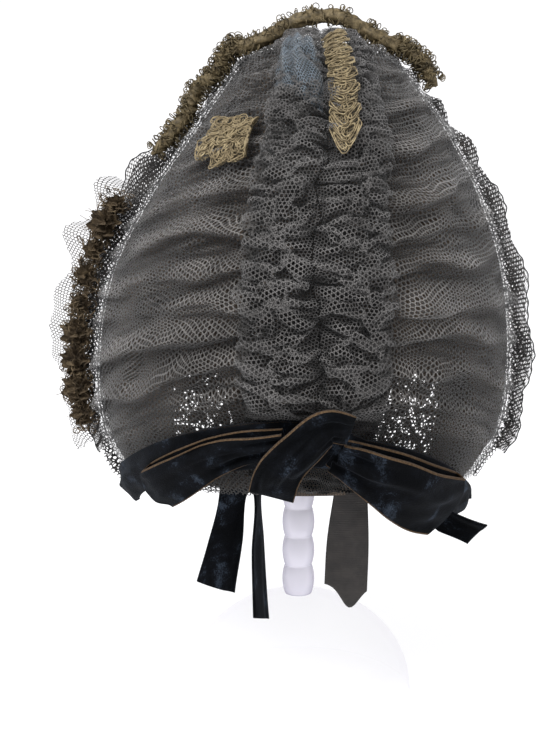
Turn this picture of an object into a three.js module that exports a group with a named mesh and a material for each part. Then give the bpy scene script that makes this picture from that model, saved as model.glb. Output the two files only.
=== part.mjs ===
// A mourning bonnet of black silk net over a stiffened shell, with a ruched centre back,
// a velvet bow at the nape and a trimming along its left brim, on a clear acrylic stand.
// Millimetres, +Z up. The stand's foot is centred on the origin and the bonnet's back faces -Y.
import * as THREE from 'three';

// Bonnet body
const BODY_WIDTH = 222; // across the widest part of the brim
const BODY_HEIGHT = 214; // nape edge to the top of the brim
const BODY_DEPTH = 172; // back of the crown to the brim's front edge
const NAPE_LEVEL = 130; // nape edge above the table
const BACK_REACH = 95; // back of the crown behind the stem's axis
const SECTION_SWEEP = 78; // degrees that half a section turns through, so that the brim flares
const FRAME_WALL = 2;
const FRAME_REACH = 0.95; // where the stiff shell stops, as a share of the way round to the brim
const FRAME_REACH_LOW = 0.84; // and at its lower corners
const LIGHT_GAP_RISE = 0.19; // height of each open arch in the shell's lower edge, as a share
const LIGHT_GAP_CENTRE = 0.37;
const LIGHT_GAP_HALF = 0.14;

// Net layers
const LAYER_GAP = 0.7; // clearance between any two layers
const NET_WALL = 1.2; // a doubled net with its crimp
const SEAM_GAP = 0.9;
const SWAG_HEIGHT = 6; // the highest swag of the draped net
const RUCHING_PUFF = 13; // how far the puffs stand out
const CROWN_LOOP = 9; // how far the loose loop over the crown stands up
const RUCHING_ROWS = 13; // puffs from nape to top in each column
const FRILL_WIDTH = 18; // where it is widest
const FRILL_WAVE = 3.4;
const FRILL_WAVES = 17; // waves along the whole brim
const FRILL_WALL = 1;

// Velvet
const VELVET_WALL = 1.6;
const BAND_HEIGHT = 24;
const BAND_WALL = 2.4;
const BAND_CROWN = 2.2; // how far the middle of the band stands out from its edges
const BAND_REACH = 0.97;
const BOW_WIDTH = 33; // the bow's ribbon at its widest
const LOOP_GAP = 2.4; // air between a loop's two layers
const LOOP_BULGE = 3;
const KNOT_BULGE = 6;
const TAIL_WIDTH = 25;
const TAIL_LENGTH = 80; // how far the longest end hangs below the nape edge
const TAIL_INSET = 4.2; // clearance inside the shell, where an end starts
const TAIL_SLANT = 7; // how much longer one edge of a cut end is
const TAIL_WALL = 1.2;

// Lace and trimming
const LACE_WALL = 1;
const LACE_WIDTH = 37; // of the scalloped tab
const LACE_RUFFLE = 0.6;
const ROLL_RADIUS = 6;
const ROLL_INSET = 7; // from the brim's edge
const CORD_RADIUS = 0.9;
const BLOSSOM_RADIUS = 6;

// Stand
const FOOT_RADIUS = 61;
const FOOT_HEIGHT = 55;
const FOOT_RIM = 1.5; // upright edge under the foot's dome
const STEM_BEAD_RADIUS = 8.6;
const STEM_NECK_RADIUS = 7.2;
const STEM_BEAD_PITCH = 16;
const STEM_BEADS = 5;
const HEAD_RADIUS = 44;
const HEAD_GAP = 0.5; // between the head and the crown that rests on it

const RADIANS = Math.PI / 180;
const UP = new THREE.Vector3(0, 0, 1);

// Sections of the body from the nape edge to the top of the brim.
// up: place along the body; back, front: the middle's and the brim's place, shares of BODY_DEPTH;
// level, brim: their heights, shares of BODY_HEIGHT; spread: half width, share of half BODY_WIDTH;
// lean: sideways shift, share of BODY_WIDTH.
const BODY_SECTIONS = [
  { up: 0, back: 0.134, level: 0, spread: 0.82, front: 0.68, brim: -0.075, lean: 0.006 },
  { up: 0.095, back: 0.052, level: 0.131, spread: 0.97, front: 0.744, brim: 0.05, lean: 0.01 },
  { up: 0.215, back: 0, level: 0.308, spread: 1.01, front: 0.814, brim: 0.224, lean: 0.014 },
  { up: 0.344, back: 0.017, level: 0.505, spread: 0.965, front: 0.884, brim: 0.42, lean: 0.024 },
  { up: 0.476, back: 0.11, level: 0.69, spread: 0.82, front: 0.936, brim: 0.607, lean: 0.042 },
  { up: 0.63, back: 0.308, level: 0.856, spread: 0.635, front: 0.971, brim: 0.766, lean: 0.056 },
  { up: 0.777, back: 0.552, level: 0.95, spread: 0.485, front: 0.988, brim: 0.874, lean: 0.054 },
  { up: 0.89, back: 0.762, level: 0.988, spread: 0.4, front: 1, brim: 0.932, lean: 0.052 },
  { up: 1, back: 0.977, level: 0.992, spread: 0.33, front: 1.006, brim: 0.962, lean: 0.05 },
];

// Edges of the ruched strip: places around the body at places up it.
const RUCHING_EDGES = [
  { up: 0, left: -0.19, right: 0.25 },
  { up: 0.2, left: -0.2, right: 0.245 },
  { up: 0.5, left: -0.25, right: 0.25 },
  { up: 0.75, left: -0.29, right: 0.3 },
  { up: 1, left: -0.34, right: 0.36 },
];

// The frill at places along the brim (-1 is its lower left end, 0 its top, 1 its lower right):
// its width as a share of FRILL_WIDTH, and the degrees it stands out from the brim's line.
const FRILL_FORM = [
  { place: -1, width: 0.5, stand: 62 },
  { place: -0.9, width: 0.7, stand: 62 },
  { place: -0.7, width: 1, stand: 60 },
  { place: -0.56, width: 1, stand: 56 },
  { place: -0.4, width: 0.6, stand: 20 },
  { place: 0, width: 0.55, stand: 14 },
  { place: 0.4, width: 0.55, stand: 20 },
  { place: 0.56, width: 0.55, stand: 48 },
  { place: 0.72, width: 0.75, stand: 56 },
  { place: 0.9, width: 0.65, stand: 58 },
  { place: 1, width: 0.45, stand: 58 },
];

// Swags of the net: where each starts at the ruching and ends at the brim (shares up the body),
// how high it stands at the ruching as a share of SWAG_HEIGHT, and its half width (a share up the body).
const LEFT_SWAGS = [
  { gather: 0.14, brim: 0.05, crest: 0.2, half: 0.022 },
  { gather: 0.19, brim: 0.085, crest: 0.4, half: 0.024 },
  { gather: 0.245, brim: 0.135, crest: 0.77, half: 0.02 },
  { gather: 0.29, brim: 0.2, crest: 0.87, half: 0.024 },
  { gather: 0.335, brim: 0.26, crest: 0.97, half: 0.022 },
  { gather: 0.385, brim: 0.315, crest: 0.87, half: 0.022 },
  { gather: 0.43, brim: 0.375, crest: 0.93, half: 0.02 },
  { gather: 0.5, brim: 0.43, crest: 0.8, half: 0.022 },
  { gather: 0.57, brim: 0.5, crest: 0.67, half: 0.022 },
  { gather: 0.65, brim: 0.6, crest: 0.6, half: 0.024 },
  { gather: 0.75, brim: 0.72, crest: 0.57, half: 0.026 },
  { gather: 0.87, brim: 0.86, crest: 0.5, half: 0.026 },
];
const RIGHT_SWAGS = [
  { gather: 0.14, brim: 0.045, crest: 0.2, half: 0.022 },
  { gather: 0.19, brim: 0.11, crest: 0.43, half: 0.022 },
  { gather: 0.24, brim: 0.17, crest: 0.77, half: 0.022 },
  { gather: 0.285, brim: 0.24, crest: 0.9, half: 0.02 },
  { gather: 0.325, brim: 0.315, crest: 1, half: 0.022 },
  { gather: 0.37, brim: 0.385, crest: 0.83, half: 0.02 },
  { gather: 0.415, brim: 0.455, crest: 0.9, half: 0.022 },
  { gather: 0.465, brim: 0.54, crest: 0.93, half: 0.024 },
  { gather: 0.54, brim: 0.64, crest: 0.8, half: 0.024 },
  { gather: 0.63, brim: 0.74, crest: 0.67, half: 0.026 },
  { gather: 0.74, brim: 0.84, crest: 0.57, half: 0.026 },
  { gather: 0.86, brim: 0.92, crest: 0.5, half: 0.024 },
];

// Middle line of the velvet band: around the body and up it, and its height as a share of BAND_HEIGHT.
const BAND_LINE = [
  { around: -1, up: -0.012, width: 0.74 },
  { around: -0.72, up: 0.028, width: 0.84 },
  { around: -0.3, up: 0.092, width: 1 },
  { around: 0, up: 0.11, width: 1 },
  { around: 0.3, up: 0.082, width: 1 },
  { around: 0.72, up: 0.006, width: 0.9 },
  { around: 1, up: -0.034, width: 0.8 },
];

// Velvet pieces laid on the body: around and up it, and their width there as a share of BOW_WIDTH.
const LEFT_LOOP = [
  { around: -0.06, up: 0.116, width: 0.36 },
  { around: -0.2, up: 0.09, width: 0.52 },
  { around: -0.38, up: 0.046, width: 0.67 },
  { around: -0.56, up: 0.01, width: 0.61 },
];
const RIGHT_LOOP = [
  { around: 0.08, up: 0.1, width: 0.48 },
  { around: 0.25, up: 0.06, width: 0.82 },
  { around: 0.42, up: 0.018, width: 1 },
  { around: 0.62, up: -0.012, width: 0.91 },
];
const KNOT = [
  { around: 0.11, up: 0.15, width: 0.45 },
  { around: 0.045, up: 0.158, width: 0.58 },
  { around: -0.02, up: 0.126, width: 0.64 },
  { around: -0.075, up: 0.086, width: 0.67 },
  { around: -0.1, up: 0.046, width: 0.67 },
];

// Ribbon ends that hang from inside the nape: their place around, how far inside the shell as a share
// of TAIL_INSET, and rows of drop below the nape edge, sideways and forward drift (shares of
// TAIL_LENGTH), the turn of the ribbon in degrees and its width as a share of TAIL_WIDTH.
const TAIL_LEFT = {
  around: -0.29,
  inset: 0.9,
  rows: [
    { drop: 0.125, side: -0.013, forward: 0.013, turn: 30, width: 0.6 },
    { drop: 0.425, side: -0.05, forward: 0.05, turn: 38, width: 0.85 },
    { drop: 0.725, side: -0.113, forward: 0.05, turn: 34, width: 1 },
  ],
};
const TAIL_NARROW = {
  around: -0.21,
  inset: 2.75,
  rows: [
    { drop: 0.125, side: 0, forward: 0.05, turn: 74, width: 0.5 },
    { drop: 0.525, side: 0, forward: 0.087, turn: 76, width: 0.8 },
    { drop: 1, side: 0.019, forward: 0.075, turn: 68, width: 0.8 },
  ],
};
const TAIL_RIGHT = {
  around: 0.2,
  inset: 1.05,
  rows: [
    { drop: 0.125, side: 0, forward: 0.025, turn: 4, width: 0.68 },
    { drop: 0.425, side: -0.013, forward: 0.05, turn: -6, width: 0.84 },
    { drop: 0.775, side: -0.025, forward: 0.05, turn: -10, width: 0.86 },
  ],
};
const TAIL_SIDE = {
  around: 0.66,
  inset: 1.9,
  rows: [
    { drop: 0.25, side: -0.025, forward: 0.037, turn: 50, width: 0.6 },
    { drop: 0.35, side: 0.1, forward: 0.037, turn: 36, width: 0.7 },
    { drop: 0.438, side: 0.325, forward: 0, turn: 30, width: 0.8 },
  ],
};

// Blossoms of the garland: place along the brim, and size as a share of BLOSSOM_RADIUS.
const BLOSSOMS = [
  { place: -0.64, size: 0.7 },
  { place: -0.67, size: 1.15 },
  { place: -0.708, size: 0.75 },
  { place: -0.745, size: 0.8 },
  { place: -0.785, size: 0.7 },
  { place: -0.828, size: 1 },
  { place: -0.867, size: 1.05 },
  { place: -0.907, size: 1.05 },
  { place: -0.945, size: 0.8 },
];

const mix = (a, b, share) => a + (b - a) * share;
const clamp01 = (x) => Math.min(1, Math.max(0, x));
const smooth = (x) => clamp01(x) * clamp01(x) * (3 - 2 * clamp01(x));
const bell = (x) => Math.exp(-x * x);

/** A column of a table, read between its rows on a smooth curve and past its ends in a straight line. */
function read(table, place, key, at) {
  const last = table.length - 1;
  const slope = (i) => {
    const [low, high] = [table[Math.max(i - 1, 0)], table[Math.min(i + 1, last)]];
    return (high[key] - low[key]) / (high[place] - low[place]);
  };
  if (at <= table[0][place]) return table[0][key] + slope(0) * (at - table[0][place]);
  if (at >= table[last][place]) return table[last][key] + slope(last) * (at - table[last][place]);
  const i = table.findIndex((row) => row[place] > at) - 1;
  const [from, to] = [table[i], table[i + 1]];
  const span = to[place] - from[place];
  const t = (at - from[place]) / span;
  const rise = t * t * (3 - 2 * t);
  return (
    mix(from[key], to[key], rise) +
    span * t * (1 - t) * ((1 - t) * slope(i) - t * slope(i + 1))
  );
}

/** The body's outer face: around runs from -1 at the left brim to 1 at the right, up from 0 at the nape to 1. */
function bodyPoint(around, up) {
  const at = (key) => read(BODY_SECTIONS, 'up', key, up);
  const sweep = SECTION_SWEEP * RADIANS;
  const turn = sweep * around;
  const wrap = (1 - Math.cos(turn)) / (1 - Math.cos(sweep));
  return new THREE.Vector3(
    BODY_WIDTH * (at('lean') + (at('spread') * Math.sin(turn)) / (2 * Math.sin(sweep))),
    BODY_DEPTH * mix(at('back'), at('front'), wrap) - BACK_REACH,
    NAPE_LEVEL + BODY_HEIGHT * mix(at('level'), at('brim'), wrap),
  );
}

const STEP = 1e-3;
const alongAround = (around, up) =>
  bodyPoint(around + STEP, up).sub(bodyPoint(around - STEP, up)).normalize();
const alongUp = (around, up) =>
  bodyPoint(around, up + STEP).sub(bodyPoint(around, up - STEP)).normalize();
const bodyNormal = (around, up) => alongAround(around, up).cross(alongUp(around, up)).normalize();

/** A point on the body raised by lift along its normal. */
const raised = (around, up, lift) => bodyPoint(around, up).addScaledVector(bodyNormal(around, up), lift);

/** A length in mm across the body at a place up it, as a share around. */
const shareAround = (length, up) =>
  length / bodyPoint(0.5, up).distanceTo(bodyPoint(-0.5, up));

/** A length in mm up the middle of the back, as a share up. */
const shareUp = (length) => length / (bodyPoint(0, 0.3).distanceTo(bodyPoint(0, 0)) / 0.3);

/** A closed solid from its vertices and triangles, with its faces turned outwards. */
function solid(points, faces) {
  let volume = 0;
  for (const [a, b, c] of faces) {
    volume += points[a].dot(new THREE.Vector3().crossVectors(points[b], points[c]));
  }
  const turned = volume < 0 ? faces.map(([a, b, c]) => [a, c, b]) : faces;
  const geometry = new THREE.BufferGeometry();
  geometry.setAttribute('position', new THREE.Float32BufferAttribute(points.flatMap((p) => p.toArray()), 3));
  geometry.setIndex(turned.flat());
  geometry.computeVertexNormals();
  return geometry;
}

/** A sheet between two faces, each a function of shares across and along, with its edges closed. */
function sheet(columns, rows, outerFace, innerFace) {
  const points = [];
  for (const face of [outerFace, innerFace]) {
    for (let j = 0; j <= rows; j += 1) {
      for (let i = 0; i <= columns; i += 1) points.push(face(i / columns, j / rows));
    }
  }
  const layer = (columns + 1) * (rows + 1);
  const outer = (i, j) => j * (columns + 1) + i;
  const inner = (i, j) => layer + outer(i, j);
  const faces = [];
  const quad = (a, b, c, d) => faces.push([a, b, c], [a, c, d]);
  for (let j = 0; j < rows; j += 1) {
    for (let i = 0; i < columns; i += 1) {
      quad(outer(i, j), outer(i + 1, j), outer(i + 1, j + 1), outer(i, j + 1));
      quad(inner(i, j), inner(i, j + 1), inner(i + 1, j + 1), inner(i + 1, j));
    }
  }
  for (let i = 0; i < columns; i += 1) {
    quad(outer(i + 1, 0), outer(i, 0), inner(i, 0), inner(i + 1, 0));
    quad(outer(i, rows), outer(i + 1, rows), inner(i + 1, rows), inner(i, rows));
  }
  for (let j = 0; j < rows; j += 1) {
    quad(outer(0, j), outer(0, j + 1), inner(0, j + 1), inner(0, j));
    quad(outer(columns, j + 1), outer(columns, j), inner(columns, j), inner(columns, j + 1));
  }
  return solid(points, faces);
}

/** A round bar along a path, whose radius is a function of the share along it and the angle round it. */
function bar(path, radius, sides, steps) {
  const frames = path.computeFrenetFrames(steps, false);
  const points = [path.getPointAt(0), path.getPointAt(1)];
  for (let j = 0; j <= steps; j += 1) {
    const centre = path.getPointAt(j / steps);
    for (let i = 0; i < sides; i += 1) {
      const angle = (2 * Math.PI * i) / sides;
      const reach = radius(j / steps, angle);
      points.push(
        centre
          .clone()
          .addScaledVector(frames.normals[j], reach * Math.cos(angle))
          .addScaledVector(frames.binormals[j], reach * Math.sin(angle)),
      );
    }
  }
  const ring = (i, j) => 2 + j * sides + (i % sides);
  const faces = [];
  for (let i = 0; i < sides; i += 1) {
    faces.push([0, ring(i + 1, 0), ring(i, 0)], [1, ring(i, steps), ring(i + 1, steps)]);
    for (let j = 0; j < steps; j += 1) {
      faces.push([ring(i, j), ring(i + 1, j), ring(i + 1, j + 1)], [ring(i, j), ring(i + 1, j + 1), ring(i, j + 1)]);
    }
  }
  return solid(points, faces);
}

// Stiffened shell

/** The shell's lower edge: level with the nape edge, with an open arch each side of the centre back. */
function frameFoot(around) {
  const place = (Math.abs(around) - LIGHT_GAP_CENTRE) / LIGHT_GAP_HALF;
  return LIGHT_GAP_RISE * smooth(1.6 * (1 - Math.abs(place)));
}

const SHELL_COLUMNS = 26;
const SHELL_ROWS = 11;

const shellFace = (lift) => (across, share) => {
  const foot = mix(frameFoot(FRAME_REACH * (2 * across - 1)), 0.985, share);
  const reach = mix(FRAME_REACH_LOW, FRAME_REACH, smooth(foot / 0.3));
  return raised(reach * (2 * across - 1), foot, lift);
};

const frameShell = () => sheet(SHELL_COLUMNS, SHELL_ROWS, shellFace(0), shellFace(-FRAME_WALL));

// Net

const ruchingEdge = (side, up) => read(RUCHING_EDGES, 'up', side < 0 ? 'left' : 'right', up);

/** A place across the ruched strip: -1 at its left edge and 1 at its right. */
const acrossRuching = (around, up) =>
  (2 * (around - ruchingEdge(-1, up))) / (ruchingEdge(1, up) - ruchingEdge(-1, up)) - 1;

/** Height up the body, as a share, of the velvet band's top edge. */
const bandTop = (around) =>
  read(BAND_LINE, 'around', 'up', around) + shareUp((BAND_HEIGHT / 2) * read(BAND_LINE, 'around', 'width', around));

/** Height of the swags above the resting net, with share 0 at the ruching and 1 at the brim. */
function swagHeight(swags, share, up) {
  const side = swags === LEFT_SWAGS ? -1 : 1;
  const around = mix(ruchingEdge(side, up), side, share);
  let height = 0;
  for (const swag of swags) {
    const line = mix(swag.gather, swag.brim, smooth(share) * 0.6 + share * 0.4);
    const fade = mix(1, 0.42, share);
    height += SWAG_HEIGHT * swag.crest * fade * bell((up - line) / swag.half);
  }
  return height * smooth((up - bandTop(around)) / 0.06);
}

function drape(side, swags) {
  const face = (wall) => (across, along) => {
    const up = mix(0.004, 0.992, along);
    const start = ruchingEdge(side, up) + side * shareAround(SEAM_GAP, up);
    return raised(mix(start, side, across), up, LAYER_GAP + wall + swagHeight(swags, across, up));
  };
  return sheet(9, 36, face(NET_WALL), face(0));
}

/** Puffs of the ruched strip: two columns of meandering ridges between three rows of gathering. */
function puffHeight(across, up) {
  const around = mix(ruchingEdge(-1, up), ruchingEdge(1, up), (across + 1) / 2);
  const column = Math.abs(Math.sin(Math.PI * across)) ** 0.7;
  const wander =
    0.3 * Math.sin(2.6 * across + 11 * up) + 0.22 * Math.sin(5.2 * across - 17 * up + 1.1) + (across > 0 ? 0.5 : 0);
  const ridge = 0.5 + 0.5 * Math.cos(2 * Math.PI * (RUCHING_ROWS * up + wander));
  const foot = smooth((up - bandTop(around)) / 0.07);
  const top = 1 - 0.5 * smooth((up - 0.75) / 0.25);
  return RUCHING_PUFF * foot * top * (0.22 + 0.78 * column) * (0.2 + 0.8 * ridge);
}

/** The highest that the net stands above the body within a reach of a place, both as shares. */
function netTop(around, up, reachAround, reachUp) {
  let top = 0;
  for (let i = -3; i <= 3; i += 1) {
    for (let j = -3; j <= 3; j += 1) {
      const [x, y] = [around + (i / 3) * reachAround, up + (j / 3) * reachUp];
      const edge = ruchingEdge(x, y);
      const share = (x - edge) / (Math.sign(edge) - edge);
      const swags = x < 0 ? LEFT_SWAGS : RIGHT_SWAGS;
      top = Math.max(top, share < 0 ? puffHeight(acrossRuching(x, y), y) : swagHeight(swags, share, y));
    }
  }
  return LAYER_GAP + NET_WALL + top + LAYER_GAP;
}

function ruchedStrip() {
  const face = (wall) => (across, along) => {
    const up = mix(0.004, 0.992, along);
    const around = mix(ruchingEdge(-1, up), ruchingEdge(1, up), across);
    return raised(around, up, LAYER_GAP + wall + puffHeight(2 * across - 1, up));
  };
  return sheet(10, 49, face(NET_WALL), face(0));
}

// Brim

const BRIM_CORNER = 0.11; // share of half the brim line that runs across its top

/** Where a place along the brim line lies on the body: -1 is the lower left end, 0 the top, 1 the lower right. */
function brimPlace(place) {
  const far = Math.abs(place);
  if (far < BRIM_CORNER) return [place / BRIM_CORNER, 1];
  return [Math.sign(place), mix(1, 0.06, (far - BRIM_CORNER) / (1 - BRIM_CORNER))];
}

/** The brim's point at a place along it, its normal, and the direction out of the brim's edge. */
function brimFrame(place) {
  const [around, up] = brimPlace(place);
  const point = bodyPoint(around, up);
  const normal = bodyNormal(around, up);
  const ahead = bodyPoint(...brimPlace(Math.min(place + 0.01, 1)));
  const run = ahead.sub(bodyPoint(...brimPlace(Math.max(place - 0.01, -1)))).normalize();
  const out = new THREE.Vector3().crossVectors(normal, run).normalize();
  return { point, normal, out, run };
}

/** A point off the brim line: out from its edge, and up from the body. */
function offBrim(place, outward, lift) {
  const { point, normal, out } = brimFrame(place);
  return point.addScaledVector(out, outward).addScaledVector(normal, lift);
}

/** A point off the frill: a share of its width out from its root, and a distance off its back. */
function offFrill(place, share, behind) {
  const stand = read(FRILL_FORM, 'place', 'stand', place) * RADIANS;
  const reach = FRILL_WIDTH * read(FRILL_FORM, 'place', 'width', place) * share;
  const outward = SEAM_GAP + reach * Math.cos(stand) - behind * Math.sin(stand);
  const lift = LAYER_GAP + NET_WALL + reach * Math.sin(stand) + behind * Math.cos(stand);
  return offBrim(place, outward, lift);
}

function frill(from, to) {
  const face = (wall) => (across, along) => {
    const place = mix(from, to, across);
    const wave = FRILL_WAVE * along * Math.sin(Math.PI * FRILL_WAVES * place);
    const scallop = 1 + 0.08 * Math.sin(5 * Math.PI * place);
    return offFrill(place, along * scallop, wave + wall);
  };
  return sheet(68, 1, face(FRILL_WALL / 2), face(-FRILL_WALL / 2));
}

// Velvet

const BAND_LIFT = LAYER_GAP + NET_WALL + LAYER_GAP;
const LOOP_LIFT = BAND_LIFT + BAND_CROWN + BAND_WALL + LAYER_GAP;
const KNOT_LIFT = LOOP_LIFT + 2 * VELVET_WALL + LOOP_GAP + LAYER_GAP;

function velvetBand() {
  const face = (wall) => (across, along) => {
    const around = BAND_REACH * (2 * across - 1);
    const width = 2 * along - 1;
    const half = (BAND_HEIGHT / 2) * read(BAND_LINE, 'around', 'width', around);
    const up = read(BAND_LINE, 'around', 'up', around) + shareUp(half * width);
    const crown = BAND_CROWN * (1 - width * width);
    return raised(around, up, BAND_LIFT + wall + crown);
  };
  return sheet(20, 3, face(BAND_WALL), face(0));
}

/** Middle line of a ribbon laid on the body: its point, direction, lifting normal and width at a share. */
function laidRibbon(rows, lift) {
  const table = rows.map((row, i) => ({ ...row, share: i / (rows.length - 1) }));
  const at = (key, share) => read(table, 'share', key, share);
  const point = (share) => raised(at('around', share), at('up', share), lift(clamp01(share)));
  return (share) => {
    const run = point(share + STEP).sub(point(share - STEP)).normalize();
    const normal = bodyNormal(at('around', share), at('up', share));
    normal.addScaledVector(run, -normal.dot(run)).normalize();
    const side = new THREE.Vector3().crossVectors(normal, run).normalize();
    return { point: point(share), run, normal, side, width: BOW_WIDTH * at('width', share) };
  };
}

/** A loop of ribbon: out along its line, round at its end, and back underneath. */
function velvetLoop(rows) {
  const radius = (LOOP_GAP + VELVET_WALL) / 2;
  const turn = 0.2; // share of the strip that goes round the end
  const line = laidRibbon(rows, () => LOOP_LIFT + VELVET_WALL + LOOP_GAP / 2);
  const face = (wall) => (across, along) => {
    const straight = (1 - turn) / 2;
    const share = across < straight ? across / straight : across > 1 - straight ? (1 - across) / straight : 1;
    const angle = Math.PI * clamp01((across - straight) / turn);
    const { point, run, normal, side, width } = line(share);
    const bulge = across < straight ? LOOP_BULGE * Math.sin(Math.PI * share) : 0;
    const off = radius + wall;
    return point
      .addScaledVector(side, (along - 0.5) * width)
      .addScaledVector(normal, off * Math.cos(angle) + bulge)
      .addScaledVector(run, off * Math.sin(angle));
  };
  return sheet(18, 2, face(VELVET_WALL / 2), face(-VELVET_WALL / 2));
}

function velvetKnot() {
  const line = laidRibbon(KNOT, (share) => KNOT_LIFT + KNOT_BULGE * Math.sin(Math.PI * share));
  const face = (wall) => (across, along) => {
    const { point, normal, side, width } = line(across);
    const crease = 1.4 * (1 + Math.sin(3 * Math.PI * along + 4 * across)) * Math.sin(Math.PI * across);
    return point.addScaledVector(side, (along - 0.5) * width).addScaledVector(normal, wall + crease);
  };
  return sheet(10, 6, face(VELVET_WALL / 2), face(-VELVET_WALL / 2));
}

/** A ribbon end that starts against the inside of the shell and hangs below the nape edge. */
function ribbonTail({ around, inset, rows }) {
  const inside = -(FRAME_WALL + TAIL_INSET * inset + TAIL_WALL);
  const start = raised(around, 0.06, inside);
  const edge = raised(around, 0.01, inside);
  const direction = alongAround(around, 0);
  const lead = Math.atan2(direction.y, direction.x) / RADIANS;
  const table = [
    { x: start.x, y: start.y, z: start.z, turn: lead, width: 0.5 },
    { x: edge.x, y: edge.y, z: edge.z, turn: lead, width: 0.6 },
    ...rows.map((row) => ({
      x: edge.x + TAIL_LENGTH * row.side,
      y: edge.y + TAIL_LENGTH * row.forward,
      z: edge.z - TAIL_LENGTH * row.drop,
      turn: row.turn,
      width: row.width,
    })),
  ].map((row, i, all) => ({ ...row, share: i / (all.length - 1) }));
  const at = (key, share) => read(table, 'share', key, share);
  const point = (share) => new THREE.Vector3(at('x', share), at('y', share), at('z', share));
  const face = (wall) => (across, along) => {
    const angle = at('turn', across) * RADIANS;
    const run = point(across + STEP).sub(point(across - STEP)).normalize();
    const side = new THREE.Vector3(Math.cos(angle), Math.sin(angle), 0);
    side.addScaledVector(run, -side.dot(run)).normalize();
    const normal = new THREE.Vector3().crossVectors(side, run);
    const cut = TAIL_SLANT * (along - 0.5) * smooth((across - 0.75) * 4);
    return point(across)
      .addScaledVector(side, (along - 0.5) * TAIL_WIDTH * at('width', across))
      .addScaledVector(run, cut)
      .addScaledVector(normal, wall);
  };
  return sheet(10, 1, face(TAIL_WALL / 2), face(-TAIL_WALL / 2));
}

// Lace and trimming

/** A tongue of lace laid over the net, with scallops along its lower edge. */
function laceTongue({ around, up, width, length, slant, scallops }) {
  const [wide, long] = [LACE_WIDTH * width, LACE_WIDTH * length];
  const face = (wall) => (across, along) => {
    const dip = 0.14 * along * Math.abs(Math.sin(Math.PI * scallops * across));
    const side = (across - 0.5) * wide * mix(0.8, 1, along);
    const drop = long * along * (1 + dip) + LACE_WIDTH * slant * (across - 0.5);
    const spot = up - shareUp(drop);
    const place = around + shareAround(side, spot);
    const ruffle = LACE_RUFFLE * (1 + Math.sin(Math.PI * scallops * across)) * along;
    const lift = netTop(place, spot, shareAround(wide / 7, spot), shareUp(long / 9));
    return raised(place, spot, lift + ruffle + wall);
  };
  return sheet(8, 5, face(LACE_WALL), face(0));
}

const LACE_TAB = { around: -0.42, up: 0.618, width: 0.82, length: 0.74, slant: 0.12, scallops: 3 };
const LACE_FALL = { around: 0.062, up: 0.83, width: 0.26, length: 2.38, slant: 0.05, scallops: 1 };

/** A loose loop of net that stands over the top of the crown. */
function crownPuff() {
  const face = (wall) => (across, along) => {
    const around = mix(-0.25, -0.012, across);
    const up = mix(mix(0.67, 0.6, across), 0.83, along);
    const arch = (clamp01(Math.sin(Math.PI * across)) * clamp01(Math.sin(Math.PI * along))) ** 0.6;
    const crease = 0.15 * Math.sin(3 * Math.PI * across + 5 * along);
    return raised(around, up, netTop(around, up, 0.02, 0.01) + CROWN_LOOP * arch * (1 + crease) + wall);
  };
  return sheet(9, 6, face(NET_WALL), face(0));
}

/** The gathered roll of lace that lies along the top of the brim. */
function laceRoll() {
  const points = [];
  for (let place = -0.54; place <= 0.37; place += 0.04) {
    const [around, up] = brimPlace(place);
    const lift = netTop(around, up - shareUp(ROLL_INSET), 0.1, shareUp(ROLL_RADIUS)) + 0.92 * ROLL_RADIUS;
    points.push(offBrim(place, -ROLL_INSET, lift + 1.2 * (1 + Math.sin(31 * place))));
  }
  const radius = (share, angle) =>
    ROLL_RADIUS * smooth(0.45 + 12 * Math.min(share, 1 - share)) * (0.88 + 0.12 * Math.sin(60 * share + 2 * angle));
  return bar(new THREE.CatmullRomCurve3(points), radius, 7, 32);
}

const GARLAND_SHARE = 0.55; // how far out on the frill the garland lies
const CORD_OFFSET = FRILL_WAVE * GARLAND_SHARE + 0.65 * LAYER_GAP + FRILL_WALL / 2 + CORD_RADIUS;

/** The cord that the blossoms of the garland are sewn to. */
function garlandCord() {
  const points = [];
  for (let i = 0; i <= 12; i += 1) points.push(offFrill(mix(-0.625, -0.96, i / 12), GARLAND_SHARE, CORD_OFFSET));
  return bar(new THREE.CatmullRomCurve3(points), () => CORD_RADIUS, 5, 14);
}

/** A gathered blossom with five petals, seated on the cord. */
function blossom({ place, size }, index) {
  const radius = BLOSSOM_RADIUS * size;
  const shape = new THREE.IcosahedronGeometry(1, 1);
  const spread = shape.getAttribute('position');
  const key = (p) => p.toArray().map((x) => x.toFixed(4)).join();
  const found = new Map();
  const points = [];
  const order = [];
  for (let i = 0; i < spread.count; i += 1) {
    const p = new THREE.Vector3().fromBufferAttribute(spread, i);
    if (!found.has(key(p))) {
      found.set(key(p), points.length);
      points.push(p);
    }
    order.push(found.get(key(p)));
  }
  const centre = offFrill(place, GARLAND_SHARE, CORD_OFFSET + CORD_RADIUS + 0.95 * radius);
  const petals = points.map((p) => {
    const ripple = 0.9 + 0.1 * Math.cos(5 * Math.atan2(p.z, p.x) + index) * (1 - p.y * p.y);
    return p.clone().multiplyScalar(radius * ripple).add(centre);
  });
  const faces = [];
  for (let i = 0; i < order.length; i += 3) faces.push(order.slice(i, i + 3));
  return solid(petals, faces);
}

// Stand

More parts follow.
